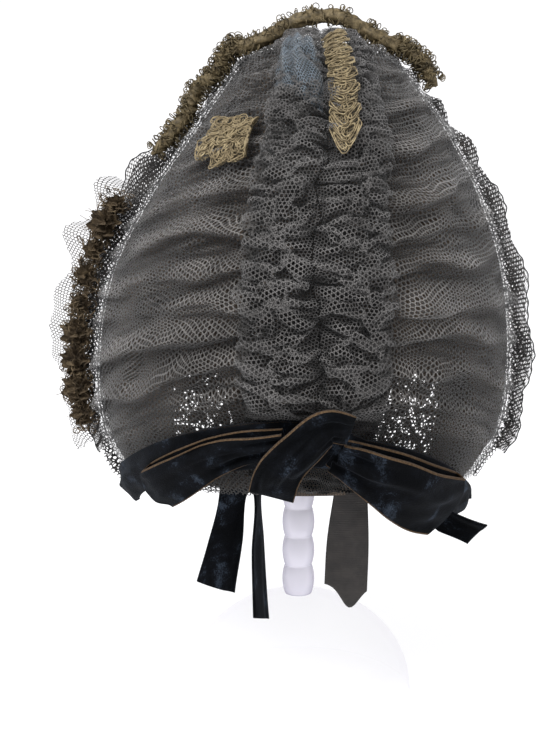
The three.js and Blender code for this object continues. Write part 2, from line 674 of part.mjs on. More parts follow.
/** Height of the head's centre at which it comes up against the facets inside the crown. */
function headHeight() {
  const inside = shellFace(-FRAME_WALL);
  const reach = HEAD_RADIUS + HEAD_GAP;
  const parts = 6; // samples along each side of a facet
  let height = Infinity;
  for (let i = 0; i < SHELL_COLUMNS * parts; i += 1) {
    for (let j = 0; j < SHELL_ROWS * parts; j += 1) {
      const [column, row] = [Math.floor(i / parts), Math.floor(j / parts)];
      const corner = (across, up) => inside((column + across) / SHELL_COLUMNS, (row + up) / SHELL_ROWS);
      const [across, up] = [(i % parts) / parts, (j % parts) / parts];
      const low = corner(0, 0).lerp(corner(1, 0), across);
      const p = low.lerp(corner(0, 1).lerp(corner(1, 1), across), up);
      const aside = Math.hypot(p.x, p.y);
      if (aside < reach && p.z > NAPE_LEVEL + BODY_HEIGHT / 2) {
        height = Math.min(height, p.z - Math.sqrt(reach * reach - aside * aside));
      }
    }
  }
  return height;
}

const HEAD_CENTRE = headHeight();
const STEM_FOOT = FOOT_HEIGHT + LAYER_GAP / 2;
const STEM_TOP = HEAD_CENTRE - LAYER_GAP / 2;

/** A turned solid from its profile of radius and height. */
function turned(profile, sides) {
  const points = profile.map(([radius, height]) => new THREE.Vector2(radius, height));
  const turnedShape = new THREE.LatheGeometry(points, sides);
  turnedShape.rotateX(Math.PI / 2);
  return turnedShape;
}

/** The foot's dome, from its flat underside to the top that carries the stem. */
function standFoot() {
  const profile = [[0, 0], [FOOT_RADIUS, 0]];
  for (let i = 0; i <= 7; i += 1) {
    const angle = (Math.PI * i) / 14;
    profile.push([
      i === 7 ? 0 : FOOT_RADIUS * Math.cos(angle),
      FOOT_RIM + (FOOT_HEIGHT - FOOT_RIM) * Math.sin(angle),
    ]);
  }
  return turned(profile, 30);
}

/** Beads up to the bonnet's edge, and a plain rod from there. */
function standStem() {
  const profile = [[0, STEM_FOOT]];
  const perBead = 4;
  for (let i = 0; i <= STEM_BEADS * perBead; i += 1) {
    const swell = Math.sin((Math.PI * (i % perBead)) / perBead) ** 0.6;
    profile.push([
      mix(STEM_NECK_RADIUS, STEM_BEAD_RADIUS, swell),
      STEM_FOOT + (i / perBead) * STEM_BEAD_PITCH,
    ]);
  }
  profile.push([STEM_NECK_RADIUS, STEM_TOP], [0, STEM_TOP]);
  return turned(profile, 12);
}

/** The dome that the crown rests on. */
function standHead() {
  const profile = [[0, HEAD_CENTRE]];
  for (let i = 0; i <= 6; i += 1) {
    const angle = (Math.PI * i) / 12;
    profile.push([i === 6 ? 0 : HEAD_RADIUS * Math.cos(angle), HEAD_CENTRE + HEAD_RADIUS * Math.sin(angle)]);
  }
  return turned(profile, 24);
}

const NET = new THREE.MeshStandardMaterial({ color: 0x3b3a3a, roughness: 0.85, metalness: 0 });
const SHELL = new THREE.MeshStandardMaterial({ color: 0x4a4038, roughness: 0.8, metalness: 0 });
const VELVET = new THREE.MeshStandardMaterial({ color: 0x0d1016, roughness: 0.9, metalness: 0 });
const LACE = new THREE.MeshStandardMaterial({ color: 0x8b7c5c, roughness: 0.9, metalness: 0 });
const BLOOM = new THREE.MeshStandardMaterial({ color: 0x3a3128, roughness: 0.9, metalness: 0 });
const ACRYLIC = new THREE.MeshStandardMaterial({ color: 0xe9e6f2, roughness: 0.08, metalness: 0 });

const object = new THREE.Group();

function add(name, geometry, material) {
  const mesh = new THREE.Mesh(geometry, material);
  mesh.name = name;
  object.add(mesh);
}

add('shell', frameShell(), SHELL);
add('net_drape_left', drape(-1, LEFT_SWAGS), NET);
add('net_drape_right', drape(1, RIGHT_SWAGS), NET);
add('ruched_strip', ruchedStrip(), NET);
add('brim_frill', frill(-1, 1), NET);
add('crown_puff', crownPuff(), NET);
add('nape_band', velvetBand(), VELVET);
add('bow_loop_left', velvetLoop(LEFT_LOOP), VELVET);
add('bow_loop_right', velvetLoop(RIGHT_LOOP), VELVET);
add('bow_knot', velvetKnot(), VELVET);
add('ribbon_tail_left', ribbonTail(TAIL_LEFT), VELVET);
add('ribbon_tail_narrow', ribbonTail(TAIL_NARROW), VELVET);
add('ribbon_tail_right', ribbonTail(TAIL_RIGHT), VELVET);
add('ribbon_tail_side', ribbonTail(TAIL_SIDE), VELVET);
add('lace_tab', laceTongue(LACE_TAB), LACE);
add('lace_fall', laceTongue(LACE_FALL), LACE);
add('lace_roll', laceRoll(), LACE);
add('garland_cord', garlandCord(), BLOOM);
BLOSSOMS.forEach((row, i) => add(`blossom_${i + 1}`, blossom(row, i), BLOOM));
add('stand_foot', standFoot(), ACRYLIC);
add('stand_stem', standStem(), ACRYLIC);
add('stand_head', standHead(), ACRYLIC);

export default object;
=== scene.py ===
"""Looks of a black net poke bonnet on a clear beaded stand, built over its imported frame.

Metres, +Z up. The stand's foot is centred on the origin and the bonnet's back faces -Y. The body,
the swags and the brim repeat the sizes and tables of the part's source, so that every new piece
lies where its plain solid lies.
"""

import logging
import math
from dataclasses import dataclass
from enum import Enum
from functools import partial
from typing import Any, Callable, Optional, Sequence

import bpy
import numpy as np
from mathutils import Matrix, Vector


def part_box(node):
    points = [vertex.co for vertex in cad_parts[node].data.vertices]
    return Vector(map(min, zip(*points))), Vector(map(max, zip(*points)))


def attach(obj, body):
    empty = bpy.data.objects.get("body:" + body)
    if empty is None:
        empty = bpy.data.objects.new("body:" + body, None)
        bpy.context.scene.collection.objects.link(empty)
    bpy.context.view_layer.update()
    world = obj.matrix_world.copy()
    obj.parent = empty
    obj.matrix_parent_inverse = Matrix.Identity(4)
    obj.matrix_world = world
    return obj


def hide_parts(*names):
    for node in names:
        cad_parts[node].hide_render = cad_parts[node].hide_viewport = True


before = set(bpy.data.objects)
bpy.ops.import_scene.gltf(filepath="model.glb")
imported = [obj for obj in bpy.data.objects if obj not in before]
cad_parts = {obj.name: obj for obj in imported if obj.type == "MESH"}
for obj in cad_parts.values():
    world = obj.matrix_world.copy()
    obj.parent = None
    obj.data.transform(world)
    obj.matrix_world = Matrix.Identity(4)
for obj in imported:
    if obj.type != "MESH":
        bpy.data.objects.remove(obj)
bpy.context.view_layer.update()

LOG = logging.getLogger("bonnet")
Array = np.ndarray
Piece = bpy.types.Object
Tree = bpy.types.NodeTree
Face = Callable[[Array, Array], Array]
Skin = tuple[Array, Array]


# Arithmetic on whole arrays


def mix(a: Any, b: Any, share: Any) -> Any:
    """The value a share of the way from a to b."""
    return a + (b - a) * share


def smooth(x: Any) -> Array:
    """0 below 0, 1 above 1, and an S curve between: x squared times 3 less 2x."""
    x = np.clip(x, 0.0, 1.0)
    return x * x * (3 - 2 * x)


def bell(x: Any) -> Array:
    """A bell curve of height 1: e to the power of minus x squared."""
    return np.exp(-x * x)


def unit(v: Array) -> Array:
    """The vectors of the last axis, made 1 long."""
    return v / np.maximum(np.linalg.norm(v, axis=-1, keepdims=True), 1e-12)


def read(places: Sequence[float], values: Sequence[float], at: Any) -> Array:
    """Reads a table on a smooth curve: a cubic between its rows, a straight line past its ends.

    Args:
        places: where the rows stand, in rising order.
        values: what they hold.
        at: where to read.

    Returns:
        The values there.
    """
    x = np.asarray(places, float)
    y = np.asarray(values, float)
    at = np.asarray(at, float)
    last = len(x) - 1
    low = np.maximum(np.arange(last + 1) - 1, 0)
    high = np.minimum(np.arange(last + 1) + 1, last)
    slope = (y[high] - y[low]) / (x[high] - x[low])
    i = np.clip(np.searchsorted(x, at, side="right") - 1, 0, last - 1)
    span = x[i + 1] - x[i]
    t = (at - x[i]) / span
    curve = mix(y[i], y[i + 1], t * t * (3 - 2 * t))
    curve = curve + span * t * (1 - t) * ((1 - t) * slope[i] - t * slope[i + 1])
    curve = np.where(at <= x[0], y[0] + slope[0] * (at - x[0]), curve)
    return np.where(at >= x[last], y[last] + slope[last] * (at - x[last]), curve)


def shares(rows: int, columns: int) -> list[Array]:
    """Shares from 0 to 1 down and across a grid, each as an array of its shape."""
    return np.meshgrid(np.linspace(0, 1, rows), np.linspace(0, 1, columns), indexing="ij")


def circle(steps: int) -> Array:
    """Angles in even steps once round."""
    return np.linspace(0, 2 * math.pi, steps, endpoint=False)


@dataclass(frozen=True)
class Ripple:
    """Seeded unevenness: the sum of plane waves of mixed direction and length, about -1 to 1."""

    seed: int
    waves: int = 12

    def __call__(self, x: Any, y: Any) -> Array:
        """The sum at x and y, which are counted in mean wavelengths."""
        rng = np.random.default_rng(self.seed)
        turn = rng.uniform(0, 2 * math.pi, self.waves)
        pace = 2 * math.pi * rng.uniform(0.55, 1.7, self.waves)
        phase = rng.uniform(0, 2 * math.pi, self.waves)
        x, y = np.broadcast_arrays(np.asarray(x, float), np.asarray(y, float))
        total = np.zeros(x.shape)
        for a, k, p in zip(turn, pace, phase):
            total = total + np.cos(k * (x * math.cos(a) + y * math.sin(a)) + p)
        return total / math.sqrt(self.waves)


# Meshes from arrays


def mesh_object(
    name: str, points: Array, faces: Array, uv: Optional[Array] = None, light_and_wear: Optional[Array] = None
) -> Piece:
    """Puts arrays into a mesh.

    Args:
        name: the piece's name.
        points: an (n, 3) array of places.
        faces: an (m, 4) array of corners; a triangle has -1 in its last column.
        uv: an (n, 2) array of places on the cloth, kept in the UV map named cloth.
        light_and_wear: how light each place is painted, from 0 to 1: painted light and shade over folds and
            puffs, and wear elsewhere; kept in the point attribute of the same name.

    Returns:
        The object, at the origin.
    """
    mesh = bpy.data.meshes.new(name)
    points = np.ascontiguousarray(points, np.float32).reshape(-1, 3)
    real = faces >= 0
    totals = real.sum(axis=1).astype(np.int32)
    corners = np.ascontiguousarray(faces[real], np.int32)
    mesh.vertices.add(len(points))
    mesh.vertices.foreach_set("co", points.ravel())
    mesh.loops.add(len(corners))
    mesh.loops.foreach_set("vertex_index", corners)
    mesh.polygons.add(len(faces))
    mesh.polygons.foreach_set("loop_start", (np.cumsum(totals) - totals).astype(np.int32))
    mesh.polygons.foreach_set("use_smooth", np.full(len(faces), True))
    mesh.update(calc_edges=True)
    if uv is not None:
        layer = mesh.uv_layers.new(name="cloth")
        layer.data.foreach_set("uv", np.ascontiguousarray(uv[corners], np.float32).ravel())
    if light_and_wear is not None:
        kept = mesh.attributes.new("light_and_wear", "FLOAT", "POINT")
        kept.data.foreach_set("value", np.ascontiguousarray(light_and_wear, np.float32).ravel())
    mesh.validate()
    piece = bpy.data.objects.new(name, mesh)
    bpy.context.scene.collection.objects.link(piece)
    return piece


def grid_faces(rows: int, columns: int, round_rows: bool = False, round_columns: bool = False) -> Array:
    """The quads of a grid of vertices counted along its columns first; either way may close on itself."""
    j, i = np.mgrid[0 : rows - (not round_rows), 0 : columns - (not round_columns)]
    here = lambda a, b: ((a % rows) * columns + b % columns).ravel()
    return np.stack([here(j, i), here(j, i + 1), here(j + 1, i + 1), here(j + 1, i)], axis=1)


def turned_outwards(points: Array, faces: Array) -> Array:
    """The faces of a closed shape, reversed if the volume that they enclose comes out negative."""
    p = points.reshape(-1, 3)
    a, b, c = p[faces[:, 0]], p[faces[:, 1]], p[faces[:, 2]]
    d = p[np.where(faces[:, 3] < 0, faces[:, 2], faces[:, 3])]
    volume = np.einsum("ij,ij->", a, np.cross(b, c)) + np.einsum("ij,ij->", a, np.cross(c, d))
    if volume >= 0:
        return faces
    quads = faces[:, ::-1].copy()
    thin = faces[:, 3] < 0
    quads[thin] = faces[thin][:, [2, 1, 0, 3]]
    return quads


def closed_sheet(name: str, outer: Array, inner: Array, uv: Optional[Array] = None) -> Piece:
    """A sheet with thickness: two grids of places joined by a wall round their edges.

    Args:
        name: the piece's name.
        outer: the (rows, columns, 3) grid of its upper face.
        inner: the same grid for its lower face.
        uv: the (rows, columns, 2) places on the cloth, the same for both.

    Returns:
        The object.
    """
    rows, columns = outer.shape[:2]
    face = grid_faces(rows, columns)
    step = rows * columns
    ring = np.concatenate(
        [
            np.arange(columns - 1),
            np.arange(rows - 1) * columns + columns - 1,
            (rows - 1) * columns + np.arange(columns - 1, 0, -1),
            np.arange(rows - 1, 0, -1) * columns,
        ]
    )
    following = np.roll(ring, -1)
    wall = np.stack([following, ring, ring + step, following + step], axis=1)
    faces = np.concatenate([face, face[:, ::-1] + step, wall])
    points = np.concatenate([outer.reshape(-1, 3), inner.reshape(-1, 3)])
    cloth = None if uv is None else np.tile(uv.reshape(-1, 2), (2, 1))
    return mesh_object(name, points, turned_outwards(points, faces), cloth)


def capped(rings: Array, ends: Any) -> Skin:
    """A closed skin over rings of places, with a pole at each end.

    Args:
        rings: (rings, steps, 3) places.
        ends: the places of the two poles.

    Returns:
        The places, and the faces turned outwards.
    """
    count, sides = rings.shape[:2]
    flat = np.concatenate([rings.reshape(-1, 3), ends])
    first, last = np.arange(sides), (count - 1) * sides + np.arange(sides)
    thin = np.full(sides, -1)
    faces = [
        grid_faces(count, sides, False, True),
        np.stack([np.roll(first, -1), first, np.full(sides, len(flat) - 2), thin], 1),
        np.stack([last, np.roll(last, -1), np.full(sides, len(flat) - 1), thin], 1),
    ]
    return flat, turned_outwards(flat, np.concatenate(faces))


def tube_arrays(paths: Array, lead: Array, radius: Any, sides: int, closed: bool = False) -> Skin:
    """Round cords: each place of a path gets a ring of points, square to the path.

    The ring's first point lies towards the lead direction, and the others follow round the path's
    tangent, so that place = centre + radius * (cos a * side + sin a * up).

    Args:
        paths: (count, steps, 3) places along the cords' middles.
        lead: directions, broadcast to the same shape, that are nowhere along the paths.
        radius: one value, or (count, steps) values.
        sides: how many points a ring has.
        closed: whether each path closes on itself; if not, its ends are capped by a point.

    Returns:
        All places and all faces.
    """
    count, steps = paths.shape[:2]
    if closed:
        run = unit(np.roll(paths, -1, axis=1) - np.roll(paths, 1, axis=1))
    else:
        run = unit(np.gradient(paths, axis=1))
    side = unit(np.cross(np.broadcast_to(lead, paths.shape), run))
    up = np.cross(run, side)
    angle = circle(sides)
    reach = np.broadcast_to(np.asarray(radius, float), (count, steps))[..., None, None]
    ring = side[:, :, None] * np.cos(angle)[:, None] + up[:, :, None] * np.sin(angle)[:, None]
    points = paths[:, :, None] + reach * ring
    face = grid_faces(steps, sides, closed, True)
    faces = [(face[None] + (np.arange(count) * steps * sides)[:, None, None]).reshape(-1, 4)]
    flat = points.reshape(-1, 3)
    if not closed:
        caps = np.concatenate([paths[:, 0], paths[:, -1]])
        first = np.arange(count)[:, None] * steps * sides + np.arange(sides)
        last = first + (steps - 1) * sides
        total = count * steps * sides
        thin = np.full((count, sides), -1)
        near = np.broadcast_to(total + np.arange(count)[:, None], (count, sides))
        far = near + count
        faces.append(np.stack([np.roll(first, -1, 1), first, near, thin], -1).reshape(-1, 4))
        faces.append(np.stack([last, np.roll(last, -1, 1), far, thin], -1).reshape(-1, 4))
        flat = np.concatenate([flat, caps])
    return flat, turned_outwards(flat, np.concatenate(faces))


def joined(parts: Sequence[Skin]) -> Skin:
    """Several pairs of places and faces as one pair."""
    places, faces, start = [], [], 0
    for p, f in parts:
        places.append(p.reshape(-1, 3))
        faces.append(np.where(f < 0, f, f + start))
        start += len(places[-1])
    return np.concatenate(places), np.concatenate(faces)


def sampled(grid: Array, row: Array, column: Array) -> Array:
    """Values of a grid between its places: the mean of the four nearest, weighted by nearness."""
    j = np.clip(np.floor(row).astype(int), 0, grid.shape[0] - 2)
    i = np.clip(np.floor(column).astype(int), 0, grid.shape[1] - 2)
    a, b = row - j, column - i
    if grid.ndim == 3:
        a, b = a[..., None], b[..., None]
    low = mix(grid[j, i], grid[j, i + 1], b)
    return mix(low, mix(grid[j + 1, i], grid[j + 1, i + 1], b), a)


def evened(values: Array, axis: int, reach: int) -> Array:
    """Each value as the mean of its neighbours along an axis, up to a reach away on either side."""
    pad = [(0, 0), (0, 0)]
    pad[axis] = (reach + 1, reach)
    total = np.cumsum(np.pad(values, pad, mode="edge"), axis=axis)
    size = values.shape[axis]
    high = np.take(total, np.arange(2 * reach + 1, 2 * reach + 1 + size), axis=axis)
    low = np.take(total, np.arange(size), axis=axis)
    return (high - low) / (2 * reach + 1)


# Net


@dataclass(frozen=True)
class Mesh:
    """A bobbinet of six-sided holes: the distance between threads, a thread's width, the cloth's turn."""

    pitch: float
    thread: float
    turn: float = 0.0

    @property
    def cover(self) -> float:
        """Share of the cloth that thread covers: 1 less the square of the hole's share of the pitch."""
        return 1 - ((self.pitch - self.thread) / self.pitch) ** 2

    def flat(self, width: float, length: float) -> Skin:
        """The threads of a flat piece of net.

        Thread crossings lie on two triangular lattices, one pitch apart, the second a hole's side
        further up. Each crossing has three corners between its three threads. A thread is the quad
        between two corners at each of its ends, and a crossing is the triangle of its corners.

        Args:
            width: the piece's size along its first side.
            length: its size along its second side.

        Returns:
            The places on the cloth, and the faces.
        """
        p, side = self.pitch, self.pitch / math.sqrt(3)
        reach = math.hypot(width, length)
        n = int(reach / p) + 3
        m = int(reach / (p * math.sqrt(3) / 2)) + 3
        i, j = np.meshgrid(np.arange(-n, n), np.arange(-m, m))
        base = np.stack([i * p + ((j + m) % 2) * p / 2, j * p * math.sqrt(3) / 2], axis=-1)
        corner = self.thread / 2 / math.sin(math.pi / 3)
        first = np.radians([30, 150, 270])
        spread = corner * np.stack([np.cos(first), np.sin(first)], axis=-1)
        lower = base[:, :, None] + spread
        upper = base[:, :, None] + np.array([0, side]) - spread
        places = np.stack([lower, upper], axis=2)
        rows, columns = base.shape[:2]
        index = np.arange(rows * columns * 6).reshape(rows, columns, 2, 3)
        shift = np.arange(rows) % 2
        left = (np.arange(columns)[None] - 1 + shift[:, None]) % columns
        right = (left + 1) % columns
        below = (np.arange(rows) - 1) % rows
        here, there = index[:, :, 0], index[:, :, 1]
        to_left = there[below[:, None], left]
        to_right = there[below[:, None], right]
        faces = [
            np.stack([here[..., 0], here[..., 1], there[..., 0], there[..., 1]], -1),
            np.stack([here[..., 1], here[..., 2], to_left[..., 1], to_left[..., 2]], -1),
            np.stack([here[..., 2], here[..., 0], to_right[..., 2], to_right[..., 0]], -1),
        ]
        thin = np.full((rows, columns, 1), -1)
        faces += [np.concatenate([node, thin], -1) for node in (here, there)]
        quads = np.concatenate([f.reshape(-1, 4) for f in faces])
        cloth = places.reshape(-1, 2)
        c, s = math.cos(self.turn), math.sin(self.turn)
        cloth = cloth @ np.array([[c, s], [-s, c]]) + np.array([width / 2, length / 2])
        return cloth, quads

    def cut(self, width: float, length: float) -> Skin:
        """The threads whose every corner is on the cut piece, with unused corners dropped.

        Args:
            width: the piece's size along its first side.
            length: its size along its second side.

        Returns:
            The places on the cloth, and the faces.
        """
        cloth, faces = self.flat(width, length)
        on = (cloth[:, 0] > 0) & (cloth[:, 0] < width) & (cloth[:, 1] > 0) & (cloth[:, 1] < length)
        return self.kept(cloth, faces, on)[:2]

    def kept(self, cloth: Array, faces: Array, on: Array) -> tuple[Array, Array, Array]:
        """Drops each face with a corner that is off the piece, and then each unused corner.

        Args:
            cloth: places on the cloth.
            faces: the faces.
            on: tells which places are on the piece.

        Returns:
            The places and faces that are left, and which places they were.
        """
        whole = np.where(faces < 0, True, on[faces]).all(axis=1)
        corners = cloth[faces]
        spread = np.linalg.norm(corners[:, 0] - corners[:, 2], axis=1)
        faces = faces[whole & (spread < 2 * self.pitch)]
        used = np.zeros(len(cloth), bool)
        used[faces[faces >= 0]] = True
        number = np.cumsum(used) - 1
        return cloth[used], np.where(faces < 0, faces, number[faces]), used


# The least share of a sheet's width times length that may be declared as its area.
LEAST_COVER = 0.301


@dataclass(frozen=True)
class LaidNet:
    """Net that has been laid: the piece, the flat cloth's width and length, and the area of its threads."""

    piece: Piece
    width: float
    length: float
    area: float

    def declare(self, held: str, rests_on: Sequence[str], with_pieces: Sequence[Any] = ()) -> None:
        area = max(self.area, LEAST_COVER * self.width * self.length)


def net_over(
    name: str,
    grid: Array,
    mesh: Mesh,
    flip: bool = False,
    light_and_wear: Optional[Array] = None,
    crease: float = 0.0,
    eased: float = 0.0,
) -> LaidNet:
    """Lays net over a grid of places at its own scale, so that its holes keep their size over every fold.

    A place of the grid lies on the flat cloth at the distance along its row from the middle column and
    the distance up its column from the middle row, whose steps are evened out over the neighbouring rows
    and columns, because cloth shears little. Each corner of the net is looked for on the grid from
    a first guess by Newton's method: its row and column move until they give its place on the cloth.

    Args:
        name: the piece's name.
        grid: (rows, columns, 3) places of the hung cloth.
        mesh: the net.
        flip: whether the faces are turned over.
        light_and_wear: painted light and shade, and wear, at each place of the grid, from 0 to 1.
        crease: how far the cloth is pulled out of its own lines, by ripples 30 mm long.
        eased: how far the cloth is pulled open where it turns away from the back, up to 1.

    Returns:
        The laid net.
    """
    rows, columns = grid.shape[:2]

    def steps(axis: int, reach: float) -> Array:
        """Steps along an axis, evened out to a reach on either side, and summed from the middle."""
        gap = np.diff(grid, axis=axis)
        size = mix(np.linalg.norm(gap, axis=-1), np.linalg.norm(gap[..., [0, 2]], axis=-1), eased)
        step = np.linalg.norm(np.diff(grid, axis=1 - axis), axis=-1).mean()
        count = int(np.clip(reach / step, 1, grid.shape[1 - axis] - 1))
        size = np.insert(evened(size, 1 - axis, count), 0, 0, axis=axis)
        total = np.cumsum(size, axis=axis)
        return total - np.take(total, [grid.shape[axis] // 2], axis=axis)

    flat = np.stack([steps(1, 0.012), steps(0, 0.04)], axis=-1)
    flat -= flat.reshape(-1, 2).min(axis=0)
    width, length = (float(v) for v in flat.reshape(-1, 2).max(axis=0))
    cloth, faces = mesh.flat(width * 1.05, length * 1.05)
    low, high = -0.02 * np.array([width, length]), np.array([width, length]) * 1.06
    near = ((cloth > low) & (cloth < high)).all(axis=1)
    cloth, faces, _ = mesh.kept(cloth, faces, near)
    aim = cloth - 0.025 * np.array([width, length])
    pulled = [Ripple(seed, 9)(aim[:, 0] / 0.03, aim[:, 1] / 0.03) for seed in (71, 72)]
    aim = aim + crease * np.stack(pulled, axis=-1)
    row, column = aim[:, 1] / length * (rows - 1), aim[:, 0] / width * (columns - 1)
    slopes = np.concatenate([np.gradient(flat, axis=0), np.gradient(flat, axis=1), flat], axis=-1)
    for _ in range(7):
        here = sampled(slopes, row, column)
        a, b, miss = here[:, :2], here[:, 2:4], aim - here[:, 4:]
        whole = a[:, 0] * b[:, 1] - a[:, 1] * b[:, 0]
        whole = np.where(np.abs(whole) < 1e-12, 1e-12, whole)
        row = row + np.clip((miss[:, 0] * b[:, 1] - miss[:, 1] * b[:, 0]) / whole, -40, 40)
        column = column + np.clip((a[:, 0] * miss[:, 1] - a[:, 1] * miss[:, 0]) / whole, -40, 40)
        row, column = np.clip(row, -4, rows + 3), np.clip(column, -4, columns + 3)
    found = np.linalg.norm(aim - sampled(flat, row, column), axis=1) < mesh.thread
    on = found & (row >= 0) & (row <= rows - 1) & (column >= 0) & (column <= columns - 1)
    cloth, faces, on = mesh.kept(cloth, faces, on)
    row, column = row[on], column[on]
    place = sampled(grid, row, column)
    fading_and_shade = None if light_and_wear is None else sampled(light_and_wear, row, column)
    if flip:
        faces = np.where((faces[:, 3] < 0)[:, None], faces[:, [2, 1, 0, 3]], faces[:, ::-1])
    laid = [np.linalg.norm(np.diff(grid, axis=k), axis=-1).sum(axis=k).max() for k in (1, 0)]
    laid = np.array(laid) * np.ptp(cloth, axis=0) / np.array([width, length])
    corner = place[np.where(faces < 0, faces[:, [2]], faces)]
    across = np.cross(corner[:, 2] - corner[:, 0], corner[:, 3] - corner[:, 1])
    area = float(np.linalg.norm(across, axis=1).sum() / 2)
    width, length = float(laid[0]), float(laid[1])
    return LaidNet(mesh_object(name, place, faces, cloth, fading_and_shade), width, length, area)


# Bonnet body

UPS = (0, 0.095, 0.215, 0.344, 0.476, 0.63, 0.777, 0.89, 1)
LAYER_GAP = 0.0007
NET_WALL = 0.0012
SEAM_GAP = 0.0009
# The brim's level top, as a share of the way from its middle to an end, and how far up the ends are.
BRIM_TOP = 0.11
BRIM_FOOT = 0.06


class Side(Enum):
    """The wearer's left or right half of the bonnet, by the sign of its places around."""

    LEFT = -1
    RIGHT = 1


@dataclass(frozen=True)
class Body:
    """The outer face of the stiff shell, as a function of a place around it and a place up it."""

    width: float = 0.222
    height: float = 0.214
    depth: float = 0.172
    nape: float = 0.130
    reach: float = 0.095
    sweep: float = math.radians(78)
    back: tuple = (0.134, 0.052, 0, 0.017, 0.11, 0.308, 0.552, 0.762, 0.977)
    level: tuple = (0, 0.131, 0.308, 0.505, 0.69, 0.856, 0.95, 0.988, 0.992)
    spread: tuple = (0.82, 0.97, 1.01, 0.965, 0.82, 0.635, 0.485, 0.4, 0.33)
    front: tuple = (0.68, 0.744, 0.814, 0.884, 0.936, 0.971, 0.988, 1, 1.006)
    brim: tuple = (-0.075, 0.05, 0.224, 0.42, 0.607, 0.766, 0.874, 0.932, 0.962)
    lean: tuple = (0.006, 0.01, 0.014, 0.024, 0.042, 0.056, 0.054, 0.052, 0.05)

    def point(self, around: Any, up: Any) -> Array:
        """A place on the shell: sideways by the sine of the turn, forwards and down by 1 less its cosine.

        Args:
            around: -1 at the left brim, 0 at the middle of the back, 1 at the right brim.
            up: 0 at the nape edge, 1 at the top of the brim.

        Returns:
            The places.
        """
        around, up = np.broadcast_arrays(np.asarray(around, float), np.asarray(up, float))
        turn = self.sweep * around
        wrap = (1 - np.cos(turn)) / (1 - math.cos(self.sweep))
        half = read(UPS, self.spread, up) / (2 * math.sin(self.sweep))
        x = self.width * (read(UPS, self.lean, up) + half * np.sin(turn))
        y = self.depth * mix(read(UPS, self.back, up), read(UPS, self.front, up), wrap) - self.reach
        z = self.nape + self.height * mix(read(UPS, self.level, up), read(UPS, self.brim, up), wrap)
        return np.stack([x, y, z], axis=-1)

    def along_around(self, around: Any, up: Any) -> Array:
        """The direction round the shell: the difference of two near places, made 1 long."""
        return unit(self.point(np.add(around, 1e-3), up) - self.point(np.subtract(around, 1e-3), up))

    def along_up(self, around: Any, up: Any) -> Array:
        """The direction up the shell."""
        return unit(self.point(around, np.add(up, 1e-3)) - self.point(around, np.subtract(up, 1e-3)))

    def normal(self, around: Any, up: Any) -> Array:
        """The outward direction: square to round and up."""
        return unit(np.cross(self.along_around(around, up), self.along_up(around, up)))

    def raised(self, around: Any, up: Any, lift: Any) -> Array:
        """A place lifted off the shell along its outward direction."""
        return self.point(around, up) + self.normal(around, up) * np.asarray(lift, float)[..., None]

    def share_around(self, length: Any, up: Any) -> Array:
        """A length across the shell as a share around it."""
        up = np.asarray(up, float)
        return length / np.linalg.norm(self.point(0.5, up) - self.point(-0.5, up), axis=-1)

    def share_up(self, length: Any) -> Array:
        """A length up the middle of the back as a share up it."""
        return length / (np.linalg.norm(self.point(0, 0.3) - self.point(0, 0)) / 0.3)

    def brim_place(self, place: Any) -> tuple[Array, Array]:
        """Where a place along the brim lies: -1 is its lower left end, 0 its top, 1 its lower right end."""
        place = np.asarray(place, float)
        far = np.abs(place)
        around = np.where(far < BRIM_TOP, place / BRIM_TOP, np.sign(place))
        up = np.where(far < BRIM_TOP, 1.0, mix(1, BRIM_FOOT, (far - BRIM_TOP) / (1 - BRIM_TOP)))
        return around, up

    def off_brim(self, place: Any, outward: Any, lift: Any) -> Array:
        """A place off the brim: out from its edge, and up from the shell."""
        around, up = self.brim_place(place)
        normal = self.normal(around, up)
        ahead = self.point(*self.brim_place(np.minimum(np.add(place, 0.01), 1)))
        behind = self.point(*self.brim_place(np.maximum(np.subtract(place, 0.01), -1)))
        out = unit(np.cross(normal, unit(ahead - behind)))
        outward, lift = np.asarray(outward, float)[..., None], np.asarray(lift, float)[..., None]
        return self.point(around, up) + out * outward + normal * lift


@dataclass(frozen=True)
class Ruching:
    """The ruched strip up the middle of the back: its edges, and the line of its three gatherings."""

    ups: tuple = (0, 0.2, 0.5, 0.75, 1)
    left: tuple = (-0.19, -0.2, -0.25, -0.29, -0.34)
    right: tuple = (0.25, 0.245, 0.25, 0.3, 0.36)
    puff: float = 0.013
    rows: int = 13

    def edge(self, side: Side, up: Any) -> Array:
        """The place around of one edge."""
        return read(self.ups, self.left if side is Side.LEFT else self.right, up)

    def around(self, across: Any, up: Any) -> Array:
        """The place around at a place across the strip, -1 at its left edge and 1 at its right."""
        return mix(self.edge(Side.LEFT, up), self.edge(Side.RIGHT, up), (np.asarray(across) + 1) / 2)


@dataclass(frozen=True)
class BandLine:
    """The middle line of the velvet band round the nape, and its height as a share of the widest."""

    around: tuple = (-1, -0.72, -0.3, 0, 0.3, 0.72, 1)
    up: tuple = (-0.012, 0.028, 0.092, 0.11, 0.082, 0.006, -0.034)
    share: tuple = (0.74, 0.84, 1, 1, 1, 0.9, 0.8)
    height: float = 0.024
    wall: float = 0.0024
    crown: float = 0.0022

    def top(self, body: Body, around: Any) -> Array:
        """Place up the shell of the band's upper edge."""
        half = self.height / 2 * read(self.around, self.share, around)
        return read(self.around, self.up, around) + body.share_up(half)


BODY = Body()
RUCHING = Ruching()
BAND = BandLine()


# Finishes


def linear(code: str) -> tuple[float, float, float, float]:
    """An sRGB colour such as #0b0e13 as linear light: the sRGB curve undone for each channel."""
    raw = np.array([int(code[i : i + 2], 16) / 255 for i in (1, 3, 5)])
    flat = np.where(raw <= 0.04045, raw / 12.92, ((raw + 0.055) / 1.055) ** 2.4)
    return (float(flat[0]), float(flat[1]), float(flat[2]), 1.0)


